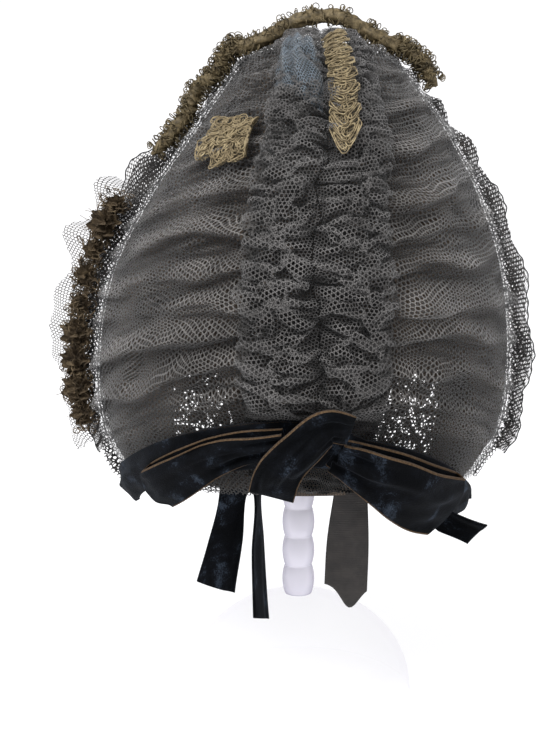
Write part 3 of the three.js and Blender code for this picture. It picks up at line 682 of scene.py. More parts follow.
def add_node(tree: Tree, kind: str, inputs: dict[Any, Any], **settings: Any) -> bpy.types.Node:
    """Adds a shader node with its settings, its numbers and its links.

    Args:
        tree: the material's tree.
        kind: the node's type, after the word ShaderNode.
        inputs: for each socket, by name or number, a value, or the socket or node that feeds it;
            a node feeds it from its first output.
        settings: the node's own settings; stops gives a ramp's places and colours.

    Returns:
        The node.
    """
    node = tree.nodes.new("ShaderNode" + kind)
    stops = settings.pop("stops", None)
    for key, value in settings.items():
        setattr(node, key, value)
    if stops:
        ramp = node.color_ramp
        while len(ramp.elements) < len(stops):
            ramp.elements.new(1.0)
        for element, (place, colour) in zip(ramp.elements, stops):
            element.position = place
            element.color = colour if isinstance(colour, tuple) else (colour, colour, colour, 1)
    for key, value in inputs.items():
        if isinstance(value, bpy.types.Node):
            value = value.outputs[0]
        if isinstance(value, bpy.types.NodeSocket):
            tree.links.new(value, node.inputs[key])
        else:
            node.inputs[key].default_value = value
    return node


class Finish:
    """A finish whose material is made once and then shared."""

    name: str

    def nodes(self, tree: Tree) -> bpy.types.Node:
        """Adds the finish's nodes and gives its shader."""
        raise NotImplementedError

    def material(self) -> bpy.types.Material:
        """The finish's material."""
        if self.name in bpy.data.materials:
            return bpy.data.materials[self.name]
        made = bpy.data.materials.new(self.name)
        made.use_nodes = True
        made.node_tree.nodes.clear()
        add_node(made.node_tree, "OutputMaterial", {"Surface": self.nodes(made.node_tree)})
        return made


@dataclass(frozen=True)
class NetThread(Finish):
    """Silk bobbinet thread, twisted by machine and dulled by fading: matte, painted a little lighter where
    it catches light and darker in its hollows, as light and shade.
    """

    name: str
    thread: str = "#706d6a"
    dull: str = "#4b4947"
    painted_shade: str = "#151414"
    patch: float = 0.03

    def nodes(self, tree: Tree) -> bpy.types.Node:
        """Painted shade in the hollows and painted light on the crests, from the attribute that the mesh
        carries; on the crests two greys in soft patches, where light has bleached the silk.
        """
        add = partial(add_node, tree)
        place = add("TexCoord", {}).outputs["Object"]
        fading_and_shade = add("TexNoise", {"Vector": place, "Scale": 1 / self.patch, "Detail": 3.0, "Roughness": 0.6})
        stops = [(0.35, linear(self.dull)), (0.65, linear(self.thread))]
        crest = add("ValToRGB", {"Fac": fading_and_shade}, stops=stops)
        light_and_wear = add("Attribute", {}, attribute_name="light_and_wear").outputs["Fac"]
        # Painted shade: the hollows' dark colour where the attribute is low, the crests' greys where it is
        # high.
        colour = add("Mix", {"Factor": light_and_wear, 6: linear(self.painted_shade), 7: crest}, data_type="RGBA")
        silk = {"Roughness": 0.75, "Specular IOR Level": 0.25, "Sheen Weight": 0.25, "Sheen Roughness": 0.5}
        return add("BsdfPrincipled", {"Base Color": colour.outputs[2], **silk})


@dataclass(frozen=True)
class Velvet(Finish):
    """Silk velvet ribbon, woven with a cut pile: almost black, with a blue-grey painted sheen where its pile
    is crushed.

    Its two selvages have no pile and show the brown ground, so the UV map's second place, counted in
    metres from one edge, draws them; the first UV place runs along the ribbon.
    """

    name: str
    pile: str = "#060709"
    middle: str = "#0c0e12"
    crushed_sheen: str = "#343c47"
    ground: str = "#584735"
    hollow: str = "#3f3225"
    sheen: str = "#8b96a6"
    width: float = 0.025
    selvage: float = 0.0005

    def nodes(self, tree: Tree) -> bpy.types.Node:
        """Crushed patches of 17 mm, painted blue-grey as sheen, tufts of 0.7 mm, and selvages from the UV
        map.
        """
        add = partial(add_node, tree)
        coordinates = add("TexCoord", {})
        place = coordinates.outputs["Object"]
        across = add("SeparateXYZ", {0: coordinates.outputs["UV"]}).outputs["Y"]
        soft = {"Detail": 4.0, "Roughness": 0.6, "Distortion": 0.3}
        crush = add("TexNoise", {"Vector": place, "Scale": 60.0, **soft})
        tufts = add("TexNoise", {"Vector": place, "Scale": 1400.0, "Detail": 2.0})
        grain = add("Math", {0: tufts, 1: 0.3}, operation="MULTIPLY")
        both = add("Math", {0: crush, 1: grain}, operation="ADD")
        # The crushed patches get the blue-grey colour: a painted sheen.
        stops = [(0.6, linear(self.pile)), (0.74, linear(self.middle)), (0.88, linear(self.crushed_sheen))]
        pile = add("ValToRGB", {"Fac": both}, stops=stops)
        weave = add("TexNoise", {"Vector": place, "Scale": 900.0, "Detail": 2.0})
        stops = [(0.35, linear(self.hollow)), (0.65, linear(self.ground))]
        ground = add("ValToRGB", {"Fac": weave}, stops=stops)
        near = add("Math", {0: across, 1: self.selvage}, operation="LESS_THAN")
        far = add("Math", {0: across, 1: self.width - self.selvage}, operation="GREATER_THAN")
        edges = add("Math", {0: near, 1: far}, operation="MAXIMUM")
        colour = add("Mix", {"Factor": edges, 6: pile, 7: ground}, data_type="RGBA")
        bump = add("Bump", {"Height": tufts, "Strength": 0.6, "Distance": 0.0005})
        gloss = {"Roughness": 0.85, "Specular IOR Level": 0.04, "Sheen Weight": 0.1, "Sheen Roughness": 0.35}
        sheen = {"Sheen Tint": linear(self.sheen), "Normal": bump}
        return add("BsdfPrincipled", {"Base Color": colour.outputs[2], **gloss, **sheen})


@dataclass(frozen=True)
class RibbonBack(Finish):
    """The plain woven back of a velvet ribbon: grey-brown, flat, with a fine rib across it."""

    name: str
    light: str = "#2a2624"
    dark: str = "#1b1817"

    def nodes(self, tree: Tree) -> bpy.types.Node:
        """A rib of 1.2 mm, drawn coarser than the real 0.3 mm so that it shows, over uneven dye."""
        add = partial(add_node, tree)
        place = add("TexCoord", {}).outputs["Object"]
        dye = add("TexNoise", {"Vector": place, "Scale": 160.0, "Detail": 4.0})
        rib = add("TexWave", {"Vector": place, "Scale": 260.0, "Distortion": 0.6}, bands_direction="Z")
        stops = [(0.35, linear(self.dark)), (0.65, linear(self.light))]
        colour = add("ValToRGB", {"Fac": dye}, stops=stops)
        bump = add("Bump", {"Height": rib.outputs["Fac"], "Strength": 0.25, "Distance": 0.0003})
        gloss = {"Roughness": 0.8, "Normal": bump, "Sheen Weight": 0.1}
        return add("BsdfPrincipled", {"Base Color": colour, **gloss})


@dataclass(frozen=True)
class Buckram(Finish):
    """Stiffened taupe cotton, woven and sized: matte, uneven in colour, with an open coarse weave."""

    name: str
    light: str = "#6b5f54"
    dark: str = "#241f1c"

    def nodes(self, tree: Tree) -> bpy.types.Node:
        """Threads 1.4 mm apart, as buckram has, crossed from two waves, over patches of stain."""
        add = partial(add_node, tree)
        place = add("TexCoord", {}).outputs["Object"]
        stain = add("TexNoise", {"Vector": place, "Scale": 22.0, "Detail": 5.0, "Roughness": 0.6})
        thread = {"Vector": place, "Scale": 225.0, "Distortion": 1.2}
        weft, warp = (add("TexWave", thread, bands_direction=way).outputs["Fac"] for way in "ZX")
        weave = add("Math", {0: weft, 1: warp}, operation="MULTIPLY")
        faint = add("Math", {0: weave, 1: 0.3}, operation="MULTIPLY")
        tone = add("Math", {0: stain, 1: faint}, operation="ADD")
        stops = [(0.42, linear(self.dark)), (0.85, linear(self.light))]
        colour = add("ValToRGB", {"Fac": tone}, stops=stops)
        bump = add("Bump", {"Height": weave, "Strength": 0.5, "Distance": 0.0005})
        gloss = {"Roughness": 0.9, "Specular IOR Level": 0.15, "Normal": bump}
        return add("BsdfPrincipled", {"Base Color": colour, **gloss})


@dataclass(frozen=True)
class Gimp(Finish):
    """Gimp cord wound with metal thread and gone dull: olive-tan, darker in the hollows, pale on top."""

    name: str
    dark: str = "#453c2b"
    middle: str = "#7d6f54"
    light: str = "#ab9d7c"
    grain: float = 0.0035
    roughness: float = 0.65

    def nodes(self, tree: Tree) -> bpy.types.Node:
        """Three tones in grains of a few millimetres, and a fine winding as bump."""
        add = partial(add_node, tree)
        place = add("TexCoord", {}).outputs["Object"]
        tone = add("TexNoise", {"Vector": place, "Scale": 1 / self.grain, "Detail": 4.0, "Roughness": 0.7})
        stops = [(0.3, linear(self.dark)), (0.52, linear(self.middle)), (0.75, linear(self.light))]
        colour = add("ValToRGB", {"Fac": tone}, stops=stops)
        wound = add("TexNoise", {"Vector": place, "Scale": 2200.0, "Detail": 1.0})
        bump = add("Bump", {"Height": wound, "Strength": 0.4, "Distance": 0.0003})
        gloss = {"Roughness": self.roughness, "Normal": bump, "Specular IOR Level": 0.3}
        return add("BsdfPrincipled", {"Base Color": colour, **gloss})


@dataclass(frozen=True)
class GlassBead(Finish):
    """Pressed grey glass: dark, polished, with small sharp lights."""

    name: str
    tint: str = "#2c343d"

    def nodes(self, tree: Tree) -> bpy.types.Node:
        """One dark tint under a hard gloss."""
        glass = {"Roughness": 0.12, "IOR": 1.52, "Coat Weight": 0.5}
        return add_node(tree, "BsdfPrincipled", {"Base Color": linear(self.tint), **glass})


@dataclass(frozen=True)
class CastAcrylic(Finish):
    """Cast and polished acrylic: clear and all but white in a white room, with a faint lavender cast.

    Its body shows as a thin haze that is denser where the surface turns away, as the longer way through a
    curved solid makes it, under a clear gloss. Its colour is painted darker towards the rim, as shade.
    """

    name: str
    tint: str = "#eeebf6"
    edge: str = "#cfc9de"
    middle: float = 0.1
    rim: float = 0.5

    def nodes(self, tree: Tree) -> bpy.types.Node:
        """Haze from the middle's to the rim's by the facing angle, and painted shade that darkens the colour
        towards the rim.
        """
        add = partial(add_node, tree)
        facing = add("LayerWeight", {"Blend": 0.45}).outputs["Facing"]
        stops = [(0.0, self.middle), (0.55, mix(self.middle, self.rim, 0.3)), (1.0, self.rim)]
        haze = add("ValToRGB", {"Fac": facing}, stops=stops)
        # Painted shade: the tint turns to the darker edge colour where the surface turns away.
        stops = [(0.2, linear(self.tint)), (0.9, linear(self.edge))]
        colour = add("ValToRGB", {"Fac": facing}, stops=stops)
        gloss = {"Roughness": 0.08, "Specular IOR Level": 0.3, "Alpha": haze}
        return add("BsdfPrincipled", {"Base Color": colour, **gloss})


@dataclass(frozen=True)
class PaintedFloor(Finish):
    """A smooth pale studio floor and backdrop with an even glow of its own."""

    name: str
    tint: str = "#b4b4b6"
    glow: float = 0.68

    def nodes(self, tree: Tree) -> bpy.types.Node:
        """One pale matte colour with an even glow."""
        paint = {"Base Color": linear(self.tint), "Roughness": 0.7, "Specular IOR Level": 0.1}
        lit = {"Emission Color": linear("#ffffff"), "Emission Strength": self.glow}
        return add_node(tree, "BsdfPrincipled", {**paint, **lit})


# Copies of one silk net. silk_bobbinet_shaded and the deep-shade copy are its thread darkened as painted
# shade, for layers that lie under others; each third colour is the painted shade of the hollows, and a piece
# without the attribute shows its third colour all over.
TOP_NET = NetThread("silk_bobbinet")
RUCHED_NET = NetThread("silk_bobbinet_ruched", "#605e5d", "#42403f", "#0b0b0b")
UNDER_NET = NetThread("silk_bobbinet_shaded", "#3f3b39", "#292625", "#0f0e0e")
DEEP_SHADE_NET = NetThread("silk_bobbinet_deep", "#242323", "#191818", "#0b0b0b")
CROWN_NET = NetThread("silk_bobbinet_blued", "#75808a", "#57636c", "#181c20")
VELVET = Velvet("silk_velvet_ribbon")
VELVET_END = Velvet("silk_velvet_ribbon_end", selvage=0.0)
VELVET_BACK = RibbonBack("velvet_ribbon_back")
BUCKRAM = Buckram("sized_buckram")
GIMP = Gimp("tarnished_gimp")
GARLAND = Gimp("gathered_gauze", "#2a231b", "#574a39", "#83735a", 0.005, 0.9)
ROLL_GIMP = Gimp("tarnished_gimp_roll", "#2d271b", "#5b5039", "#8d7f60", 0.005)
CORE_GIMP = Gimp("tarnished_gimp_hollow", "#2b251a", "#5d5139", "#85765a", 0.003)
BEAD = GlassBead("pressed_glass_bead")
# The edge colours are painted shade on the rims; the stem's is the darker.
FOOT_ACRYLIC = CastAcrylic("cast_acrylic_foot", middle=0.05, rim=0.22)
STEM_ACRYLIC = CastAcrylic("cast_acrylic_stem", "#efecf8", "#8f8aa3", 0.7, 0.95)
FLOOR = PaintedFloor("painted_floor")


def dressed(piece: Piece, finish: Finish, slot: str, nodes: Sequence[str] = ()) -> Piece:
    """Gives a piece its finish and its body, and hides the plain solids that it stands for.

    Args:
        piece: the new piece.
        finish: its finish.
        slot: the record's material slot; not used.
        nodes: the plain solids that it replaces.

    Returns:
        The piece.
    """
    piece.data.materials.append(finish.material())
    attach(piece, "root")
    if nodes:
        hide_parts(*nodes)
    LOG.info("%s: %d faces", piece.name, len(piece.data.polygons))
    return piece


# Stiff shell


@dataclass
class StiffShell:
    """The sized buckram shell under the net, open at two arches in its lower edge."""

    wall: float = 0.002
    reach: float = 0.95
    reach_low: float = 0.84
    arch_rise: float = 0.22
    arch_centre: float = 0.37
    arch_half: float = 0.19

    def foot(self, around: Array) -> Array:
        """The lower edge: level, with an S-shaped arch each side of the centre back."""
        place = (np.abs(around) - self.arch_centre) / self.arch_half
        return self.arch_rise * smooth(1.6 * (1 - np.abs(place)))

    def face(self, lift: float) -> Face:
        """One face of the shell, a share across and a share up from its foot.

        Args:
            lift: distance off the body's face.

        Returns:
            The function of the two shares.
        """

        def place(across: Array, share: Array) -> Array:
            """The place at two shares."""
            foot = mix(self.foot(self.reach * (2 * across - 1)), 0.985, share)
            reach = mix(self.reach_low, self.reach, smooth(foot / 0.3))
            return BODY.raised(reach * (2 * across - 1), foot, lift)

        return place

    def build(self) -> Piece:
        """The shell as a closed sheet."""
        share, across = shares(70, 150)
        outer, inner = (self.face(lift)(across, share) for lift in (0, -self.wall))
        return dressed(closed_sheet("buckram_shell", outer, inner), BUCKRAM, "stiffened_shell", ["shell"])


@dataclass
class WornBuckram:
    """Buckram whose sizing has cracked out of its holes: small square flecks with gaps between."""

    fleck: float = 0.0007
    lift: float = -0.001
    around: float = 0.262
    up: float = 0.232

    def open_share(self, around: Array, up: Array) -> Array:
        """Share of the holes that are open: most in the middle of each arch, and some at the side edges."""
        arch = (np.abs(around) - 0.36) / np.where(around < 0, 0.1, 0.11)
        patch = np.clip(0.6 + 1.1 * Ripple(17)(around / 0.045, up / 0.03), 0, 1.6)
        open_arch = 0.42 * patch * bell(np.hypot(arch, (up - 0.13) / 0.058))
        edge = np.where(around < 0, 0.2 * smooth((0.5 - up) / 0.2), 0.04 + 0.08 * smooth((up - 0.6) / 0.1))
        return np.maximum(open_arch, np.where(np.abs(around) > 0.8, edge, 0.0))

    def build(self) -> Piece:
        """The flecks that lie where the shell is open, in the arches and beyond its side edges."""
        columns = np.linspace(-0.995, 0.995, int(self.around / self.fleck))
        rows = np.linspace(0.01, 0.98, int(self.up / self.fleck))
        around, up = np.meshgrid(columns, rows)
        shell = StiffShell()
        reach = mix(shell.reach_low, shell.reach, smooth(up / 0.3)) - 0.015
        bare = (up < shell.foot(around) + 0.012) | (np.abs(around) > reach)
        shut = np.random.default_rng(15).random(around.shape) > self.open_share(around, up)
        keep = (bare & shut)[:-1, :-1].ravel()
        points = BODY.raised(around, up, self.lift + 0.0003 * Ripple(16)(around * 30, up * 30))
        piece = mesh_object("buckram_worn", points.reshape(-1, 3), grid_faces(*around.shape)[keep])
        return dressed(piece, BUCKRAM, "stiffened_shell")


# Frill at the brim


@dataclass
class BrimFrill:
    """The frill of net round the brim, with a cord in its hem."""

    width: float = 0.018
    places: tuple = (-1, -0.9, -0.7, -0.56, -0.4, 0, 0.4, 0.56, 0.72, 0.9, 1)
    widths: tuple = (0.5, 0.7, 1, 1, 0.6, 0.55, 0.55, 0.55, 0.75, 0.65, 0.45)
    stands: tuple = (62, 62, 60, 56, 20, 14, 20, 48, 56, 58, 58)
    wave: float = 0.0034
    waves: int = 17
    mesh: Mesh = Mesh(0.0018, 0.00048, 0.25)
    lining: Mesh = Mesh(0.0019, 0.0008, 0.8)

    def off(self, place: Array, share: Array, behind: Array) -> Array:
        """A place off the frill: a share of its width out from its root, and a distance off its back."""
        stand = np.radians(read(self.places, self.stands, place))
        reach = self.width * read(self.places, self.widths, place) * share
        outward = SEAM_GAP + reach * np.cos(stand) - behind * np.sin(stand)
        lift = LAYER_GAP + NET_WALL + reach * np.sin(stand) + behind * np.cos(stand)
        return BODY.off_brim(place, outward, lift)

    def face(self, place: Array, share: Array) -> Array:
        """The frill's middle: waves that grow towards the hem, with finer gathers between them."""
        wave = self.wave * share * np.sin(math.pi * self.waves * place)
        fine = 0.0012 * share * Ripple(51)(place * 40, share)
        scallop = 1 + 0.08 * np.sin(5 * math.pi * place) + 0.05 * Ripple(52)(place * 9, 0)
        return self.off(place, share * scallop, wave + fine)

    def build(self) -> list[Piece]:
        """The net, its inner layer, the bound edge under both, and the cord along the hem."""
        place, share = np.meshgrid(np.linspace(-1, 1, 900), np.linspace(0, 1, 26), indexing="ij")
        light_and_wear = np.clip(0.75 + 0.3 * Ripple(53)(place * 30, share), 0, 1)
        made = []
        for name, mesh, reach, finish, nodes in (
            ("brim_net_frill", self.mesh, 1.0, TOP_NET, ["brim_frill"]),
            ("brim_net_frill_inner", self.lining, 0.72, UNDER_NET, []),
        ):
            grid = self.face(place, share * reach)
            if not nodes:
                grid = grid + 0.0012 * BODY.normal(*BODY.brim_place(place)) * (1 + share[..., None])
            net = net_over(name, grid, mesh, light_and_wear=light_and_wear)
            made.append(dressed(net.piece, finish, "silk_net", nodes))
            net.declare("gathered", ["buckram_shell"])
        for name, lift, turn in (("brim_binding", 0.0009, 0.1), ("brim_binding_inner", -0.0004, 0.7)):
            outward = mix(-0.015, 0.0006, share)
            grid = BODY.off_brim(place, outward, lift + 0.0004 * Ripple(54)(place * 50, share * 2))
            net = net_over(name, grid, Mesh(0.0019, 0.00145, turn))
            made.append(dressed(net.piece, DEEP_SHADE_NET, "silk_net"))
            net.declare("laid", ["buckram_shell"])
        line = np.linspace(-1, 1, 900)
        path = self.face(line, np.full(900, 0.985))
        lead = BODY.normal(*BODY.brim_place(line))
        points, faces = tube_arrays(path[None], lead[None], 0.00035, 5)
        hem = dressed(mesh_object("frill_hem", points, faces), DEEP_SHADE_NET, "silk_net")
        return made + [hem]


FRILL = BrimFrill()


# Draped net


@dataclass(frozen=True)
class Swags:
    """The folds of one draped side: where each begins and ends, its crest and its width."""

    side: Side
    gather: tuple
    brim: tuple
    crest: tuple
    half: tuple
    height: float = 0.006

    def line(self, share: Array, gather: Any, brim: Any) -> Array:
        """Place up the shell of one fold: part straight, part S-shaped between its two ends."""
        return mix(gather, brim, smooth(share) * 0.6 + share * 0.4)

    def lift(self, share: Array, up: Array) -> Array:
        """Height of the folds above the resting net: a bell across each fold, lower towards the brim.

        Args:
            share: 0 at the ruching, 1 at the brim.
            up: place up the shell.

        Returns:
            The height in metres.
        """
        around = mix(RUCHING.edge(self.side, up), self.side.value, share)
        total = np.zeros(np.broadcast(share, up).shape)
        for gather, brim, crest, half in zip(self.gather, self.brim, self.crest, self.half):
            line = self.line(share, gather, brim)
            total = total + self.height * crest * mix(1, 0.42, share) * bell((up - line) / half)
        return total * smooth((up - BAND.top(BODY, around)) / 0.06)

    def thread_line(self, share: Array, up: Array) -> Array:
        """The place on the ruching from which the cloth at a place comes, read between the folds' lines.

        Args:
            share: a row of shares from the ruching to the brim.
            up: a column of places up the shell.

        Returns:
            The grid of places on the ruching.
        """
        gathers = np.concatenate([[-0.1], self.gather, [1.02]])
        brims = np.concatenate([[-0.13], self.brim, [1.02]])
        lines = [self.line(s, gathers, brims) for s in share]
        return np.stack([np.interp(up, line, gathers) for line in lines], axis=1)


LEFT_SWAGS = Swags(
    Side.LEFT,
    (0.14, 0.19, 0.245, 0.29, 0.335, 0.385, 0.43, 0.5, 0.57, 0.65, 0.75, 0.87),
    (0.05, 0.085, 0.135, 0.2, 0.26, 0.315, 0.375, 0.43, 0.5, 0.6, 0.72, 0.86),
    (0.2, 0.4, 0.77, 0.87, 0.97, 0.87, 0.93, 0.8, 0.67, 0.6, 0.57, 0.5),
    (0.022, 0.024, 0.02, 0.024, 0.022, 0.022, 0.02, 0.022, 0.022, 0.024, 0.026, 0.026),
)
RIGHT_SWAGS = Swags(
    Side.RIGHT,
    (0.14, 0.19, 0.24, 0.285, 0.325, 0.37, 0.415, 0.465, 0.54, 0.63, 0.74, 0.86),
    (0.045, 0.11, 0.17, 0.24, 0.315, 0.385, 0.455, 0.54, 0.64, 0.74, 0.84, 0.92),
    (0.2, 0.43, 0.77, 0.9, 1, 0.83, 0.9, 0.93, 0.8, 0.67, 0.57, 0.5),
    (0.022, 0.022, 0.022, 0.02, 0.022, 0.02, 0.022, 0.024, 0.024, 0.026, 0.026, 0.024),
)


@dataclass
class DrapedNet:
    """One side's draped net: an outer layer that shows its holes, and under it a layer in the same folds,
    painted darker as shade.
    """

    swags: Swags
    seed: int
    outer: Mesh = Mesh(0.002, 0.00048, 0.3)
    inner: Mesh = Mesh(0.0023, 0.0007, 0.9)
    height: float = 0.0086
    narrow: float = 0.6
    pleat: float = 0.0007
    crimp: float = 0.0007
    droop: float = 0.7
    tuck: float = 0.005
    spill: float = 0.5

    def folds(self, share: Array, up: Array) -> Array:
        """The folds' height: narrower bells than the plain model's, each of which swells and dies away."""
        swags = self.swags
        around = mix(RUCHING.edge(swags.side, up), swags.side.value, share)
        total = np.zeros(np.broadcast(share, up).shape)
        rows = zip(swags.gather, swags.brim, swags.crest, swags.half)
        for i, (gather, brim, crest, half) in enumerate(rows):
            swell = 0.35 + 0.75 * smooth(0.5 + 0.55 * Ripple(self.seed + 20 + i, 4)(share * 1.5, 0.0))
            bend = 0.008 * Ripple(self.seed + 40 + i, 4)(share * 2.0, 0.0)
            line = swags.line(share, gather, brim) + bend
            total = total + crest * swell * mix(1, 0.5, share) * bell((up - line) / (half * self.narrow))
        return self.height * total * smooth((up - BAND.top(BODY, around)) / 0.06)

    def grid(self, share_of_lift: float, lift: float) -> tuple[Array, Array]:
        """Places of one layer of the hung net.

        The height is the swags plus two sizes of pleat, each a rippled function of the thread's own
        line, so that they fan out from the gathering. A raised fold hangs over: it is moved down
        the shell by a share of its height.

        Args:
            share_of_lift: how much of the folds' height this layer follows.
            lift: distance of the layer off the shell where it has no fold.

        Returns:
            A (rows, columns, 3) grid from the nape edge up and from the ruching out, and its painted light
            and shade.
        """
        side = self.swags.side
        up = mix(0.004, 0.992, np.linspace(0, 1, 400))
        share = np.linspace(0, 1, 180)
        line = self.swags.thread_line(share, up)
        up, share = up[:, None], share[None, :]
        broad = Ripple(self.seed, 14)(line / 0.075, share * 1.1)
        fine = Ripple(self.seed + 1, 14)(line / 0.02, share * 2.6)
        ridge = np.maximum(broad, -0.4) + 0.4
        folds = self.folds(share, up)
        around = mix(RUCHING.edge(side, up), side.value, share)
        free = smooth((up - BAND.top(BODY, around)) / 0.06)
        pleats = self.pleat * (ridge + 0.8 * fine + 0.8) * mix(1, 0.55, share)
        crimps = self.crimp * (fine + 1) * np.exp(-share / 0.16)
        edge = smooth((1 - share) / 0.04)
        height = (folds + (pleats + crimps) * free) * mix(0.35, 1, edge)
        fallen = up - BODY.share_up(self.droop * height * edge * smooth((1 - up) / 0.08))
        start = RUCHING.edge(side, fallen) - side.value * BODY.share_around(self.tuck, fallen)
        height = height * mix(0.4, 1, smooth(share / 0.05))
        # Painted light and shade: lighter on the folds' crests, darker low down between them and where the
        # cloth faces down.
        slope = np.gradient(height, axis=0) / 0.00055
        light_and_wear = np.clip(0.14 + 0.95 * height / self.height - 0.3 * slope + 0.12 * broad, 0.0, 1)
        grid = BODY.raised(mix(start, side.value, share), fallen, lift + share_of_lift * height)
        place = side.value * (BRIM_TOP + (1 - BRIM_TOP) * (1 - up) / (1 - BRIM_FOOT))
        spill = self.spill * smooth((0.92 - up) / 0.15) * (1 + 0.25 * Ripple(self.seed + 5)(up / 0.12, 0))
        reach = spill * np.linspace(0.1, 1, 12)[None, :]
        onto = FRILL.face(place, reach) + (lift - LAYER_GAP) * BODY.normal(*BODY.brim_place(place))
        far = np.clip(light_and_wear[:, -1:] + 0.1 * Ripple(self.seed + 6)(up / 0.03, reach), 0, 1)
        return np.concatenate([grid, onto], axis=1), np.concatenate([light_and_wear, far], axis=1)

    def build(self) -> list[Piece]:
        """Both layers, each laid as net over its grid."""
        word = self.swags.side.name.lower()
        flip = self.swags.side is Side.LEFT
        made = []
        layers = (
            (f"net_{word}", self.outer, 1.0, LAYER_GAP + NET_WALL, TOP_NET, [f"net_drape_{word}"]),
            (f"net_{word}_inner", self.inner, 0.72, LAYER_GAP, UNDER_NET, []),
        )
        for name, mesh, follow, lift, finish, nodes in layers:
            grid, light_and_wear = self.grid(follow, lift)
            net = net_over(name, grid, mesh, flip, light_and_wear, 0.0013, 0.85)
            made.append(dressed(net.piece, finish, "silk_net", nodes))
            net.declare("gathered", ["buckram_shell"])
        return made


# Ruched strip


@dataclass
class RuchedNet:
    """The ruched strip: one length of net, 2.3 times as long as its place and a third wider, caught down in
    three lines of gathering, whose slack stands up between them in two columns of puffs."""

    width: float = 74.0
    slack_across: float = 1.36
    slack_along: float = 2.3
    length: float = 232.0
    start: float = 0.155
    end: float = 0.985
    top: float = 13.5
    columns: int = 49
    rows: int = 236
    rounds: int = 150
    pitch: float = 40.0
    stitch: int = 9
    mesh: Mesh = Mesh(0.00185, 0.00046, 0.3)
    backing: Mesh = Mesh(0.0019, 0.00105, 0.9)

    def relaxed(self) -> Array:
        """The cloth's places in the flat strip, in mm: across, along and up from it.

        The cloth starts as buckles whose height is a sine of the distance along it with a rippled
        phase. Then, again and again, each pair of neighbours along, across and aslant is moved to
        its rest distance, pairs two apart are kept from folding flat, the cloth sinks a little
        down the strip, and no place goes below the strip or above the tallest puff.

        Returns:
            A (rows, columns, 3) array.
        """
        cloth_width = self.width * self.slack_across
        cloth_length = self.length * self.slack_along
        s = np.linspace(-cloth_width / 2, cloth_width / 2, self.columns)[None, :]
        t = np.linspace(0, cloth_length, self.rows)[:, None]
        ds, dt = cloth_width / (self.columns - 1), cloth_length / (self.rows - 1)
        near = np.minimum(np.abs(s), cloth_width / 2 - np.abs(s))
        loose = mix(0.3, 1.0, smooth(near / 9))
        phase = 3.0 * Ripple(21)(s / 34, t / 95) + 1.7 * Ripple(22)(s / 17, t / 42)
        phase = phase + np.where(s > 0, 2.1, 0.0)
        wave = np.sin(2 * math.pi * t / self.pitch + phase)
        z = 2.0 + loose * (5.2 * (1 + wave) + 2.2 * Ripple(23)(s / 14, t / 18))
        wander = 3.6 * Ripple(25, 6)(s / 70, t / 90)
        x = s / self.slack_across + loose * 2.6 * Ripple(24)(s / 20, t / 26) + wander
        y = t / self.slack_along + loose * 3.6 * np.cos(2 * math.pi * t / self.pitch + phase)
        place = np.stack(np.broadcast_arrays(x, y, z), axis=-1)
        held = np.zeros((self.rows, self.columns), bool)
        rng = np.random.default_rng(27)
        for column, stray in ((0, 1.5), (self.columns // 2, 6.0), (self.columns - 1, 1.5)):
            stitches = np.arange(2, self.rows - 3, self.stitch * (2 if stray > 3 else 1))
            stitches = stitches + rng.integers(-2, 3, len(stitches))
            held[stitches, column] = True
            astray = rng.uniform(-stray, stray, len(stitches))
            place[stitches, column, 0] = s[0, column] / self.slack_across + astray
            place[stitches, column, 1] = t[stitches, 0] / self.slack_along
            place[stitches, column, 2] = 1.2
        give = np.where(held, 0.0, 1.0)[..., None]
        tall = dt * mix(1 / self.slack_along * 1.15, 1.0, loose)
        aslant = np.sqrt(ds**2 + tall**2)

        def pull(first: tuple, second: tuple, rest: Array, part: float, only_short: bool = False) -> None:
            """Moves pairs towards their rest distance, each end by its share.

            Args:
                first: the slice of one end.
                second: the slice of the other.
                rest: rest distances.
                part: share of the fault that is mended.
                only_short: whether long pairs are left alone.
            """
            gap = place[second] - place[first]
            size = np.maximum(np.linalg.norm(gap, axis=-1, keepdims=True), 1e-6)
            fault = (size - rest) / size * part
            if only_short:
                fault = np.minimum(fault, 0)
            weight = np.maximum(give[first] + give[second], 1e-6)
            place[first] += gap * fault * give[first] / weight
            place[second] -= gap * fault * give[second] / weight

        shape = (self.rows, self.columns)
        tall_rows, slant_rows, rise = (np.broadcast_to(v, shape)[..., None] for v in (tall, aslant, loose))
        whole, early, late = slice(None), slice(0, self.rows - 1), slice(1, self.rows)
        for _ in range(self.rounds):
            place[..., 1:2] -= 0.02 * give
            place[..., 2:3] += 0.05 * give * rise
            for odd in (0, 1):
                left, right = slice(odd, self.columns - 1, 2), slice(odd + 1, self.columns, 2)
                lower, upper = slice(odd, self.rows - 1, 2), slice(odd + 1, self.rows, 2)
                pull((whole, left), (whole, right), ds, 0.9)
                pull((lower, whole), (upper, whole), tall_rows[lower], 0.9)
                pull((early, left), (late, right), slant_rows[early, left], 0.35)
                pull((late, left), (early, right), slant_rows[late, left], 0.35)
            for first in range(4):
                low = slice(first, self.rows - 2, 4)
                high = slice(first + 2, self.rows, 4)
                pull((low, whole), (high, whole), 1.15 * tall_rows[low], 0.5, True)
            place[..., 2] = np.clip(place[..., 2], 0.6, self.top)
        return place

    def hung(self, flat: Array) -> Array:
        """The flat strip's places carried onto the bonnet: across to around, along to up, height to lift."""
        up = mix(self.start, self.end, flat[..., 1] / self.length)
        up = np.clip(up, self.start - 0.02, self.end)
        around = RUCHING.around(flat[..., 0] / (self.width / 2), up)
        low = smooth((up - self.start + 0.02) / 0.05)
        crown = 1 - 0.35 * smooth((up - 0.75) / 0.25)
        return BODY.raised(around, up, 0.0012 + flat[..., 2] * 1e-3 * low * crown)

    def finer(self, grid: Array) -> Array:
        """The grid with two more places between each two, on a cubic through its rows and columns."""

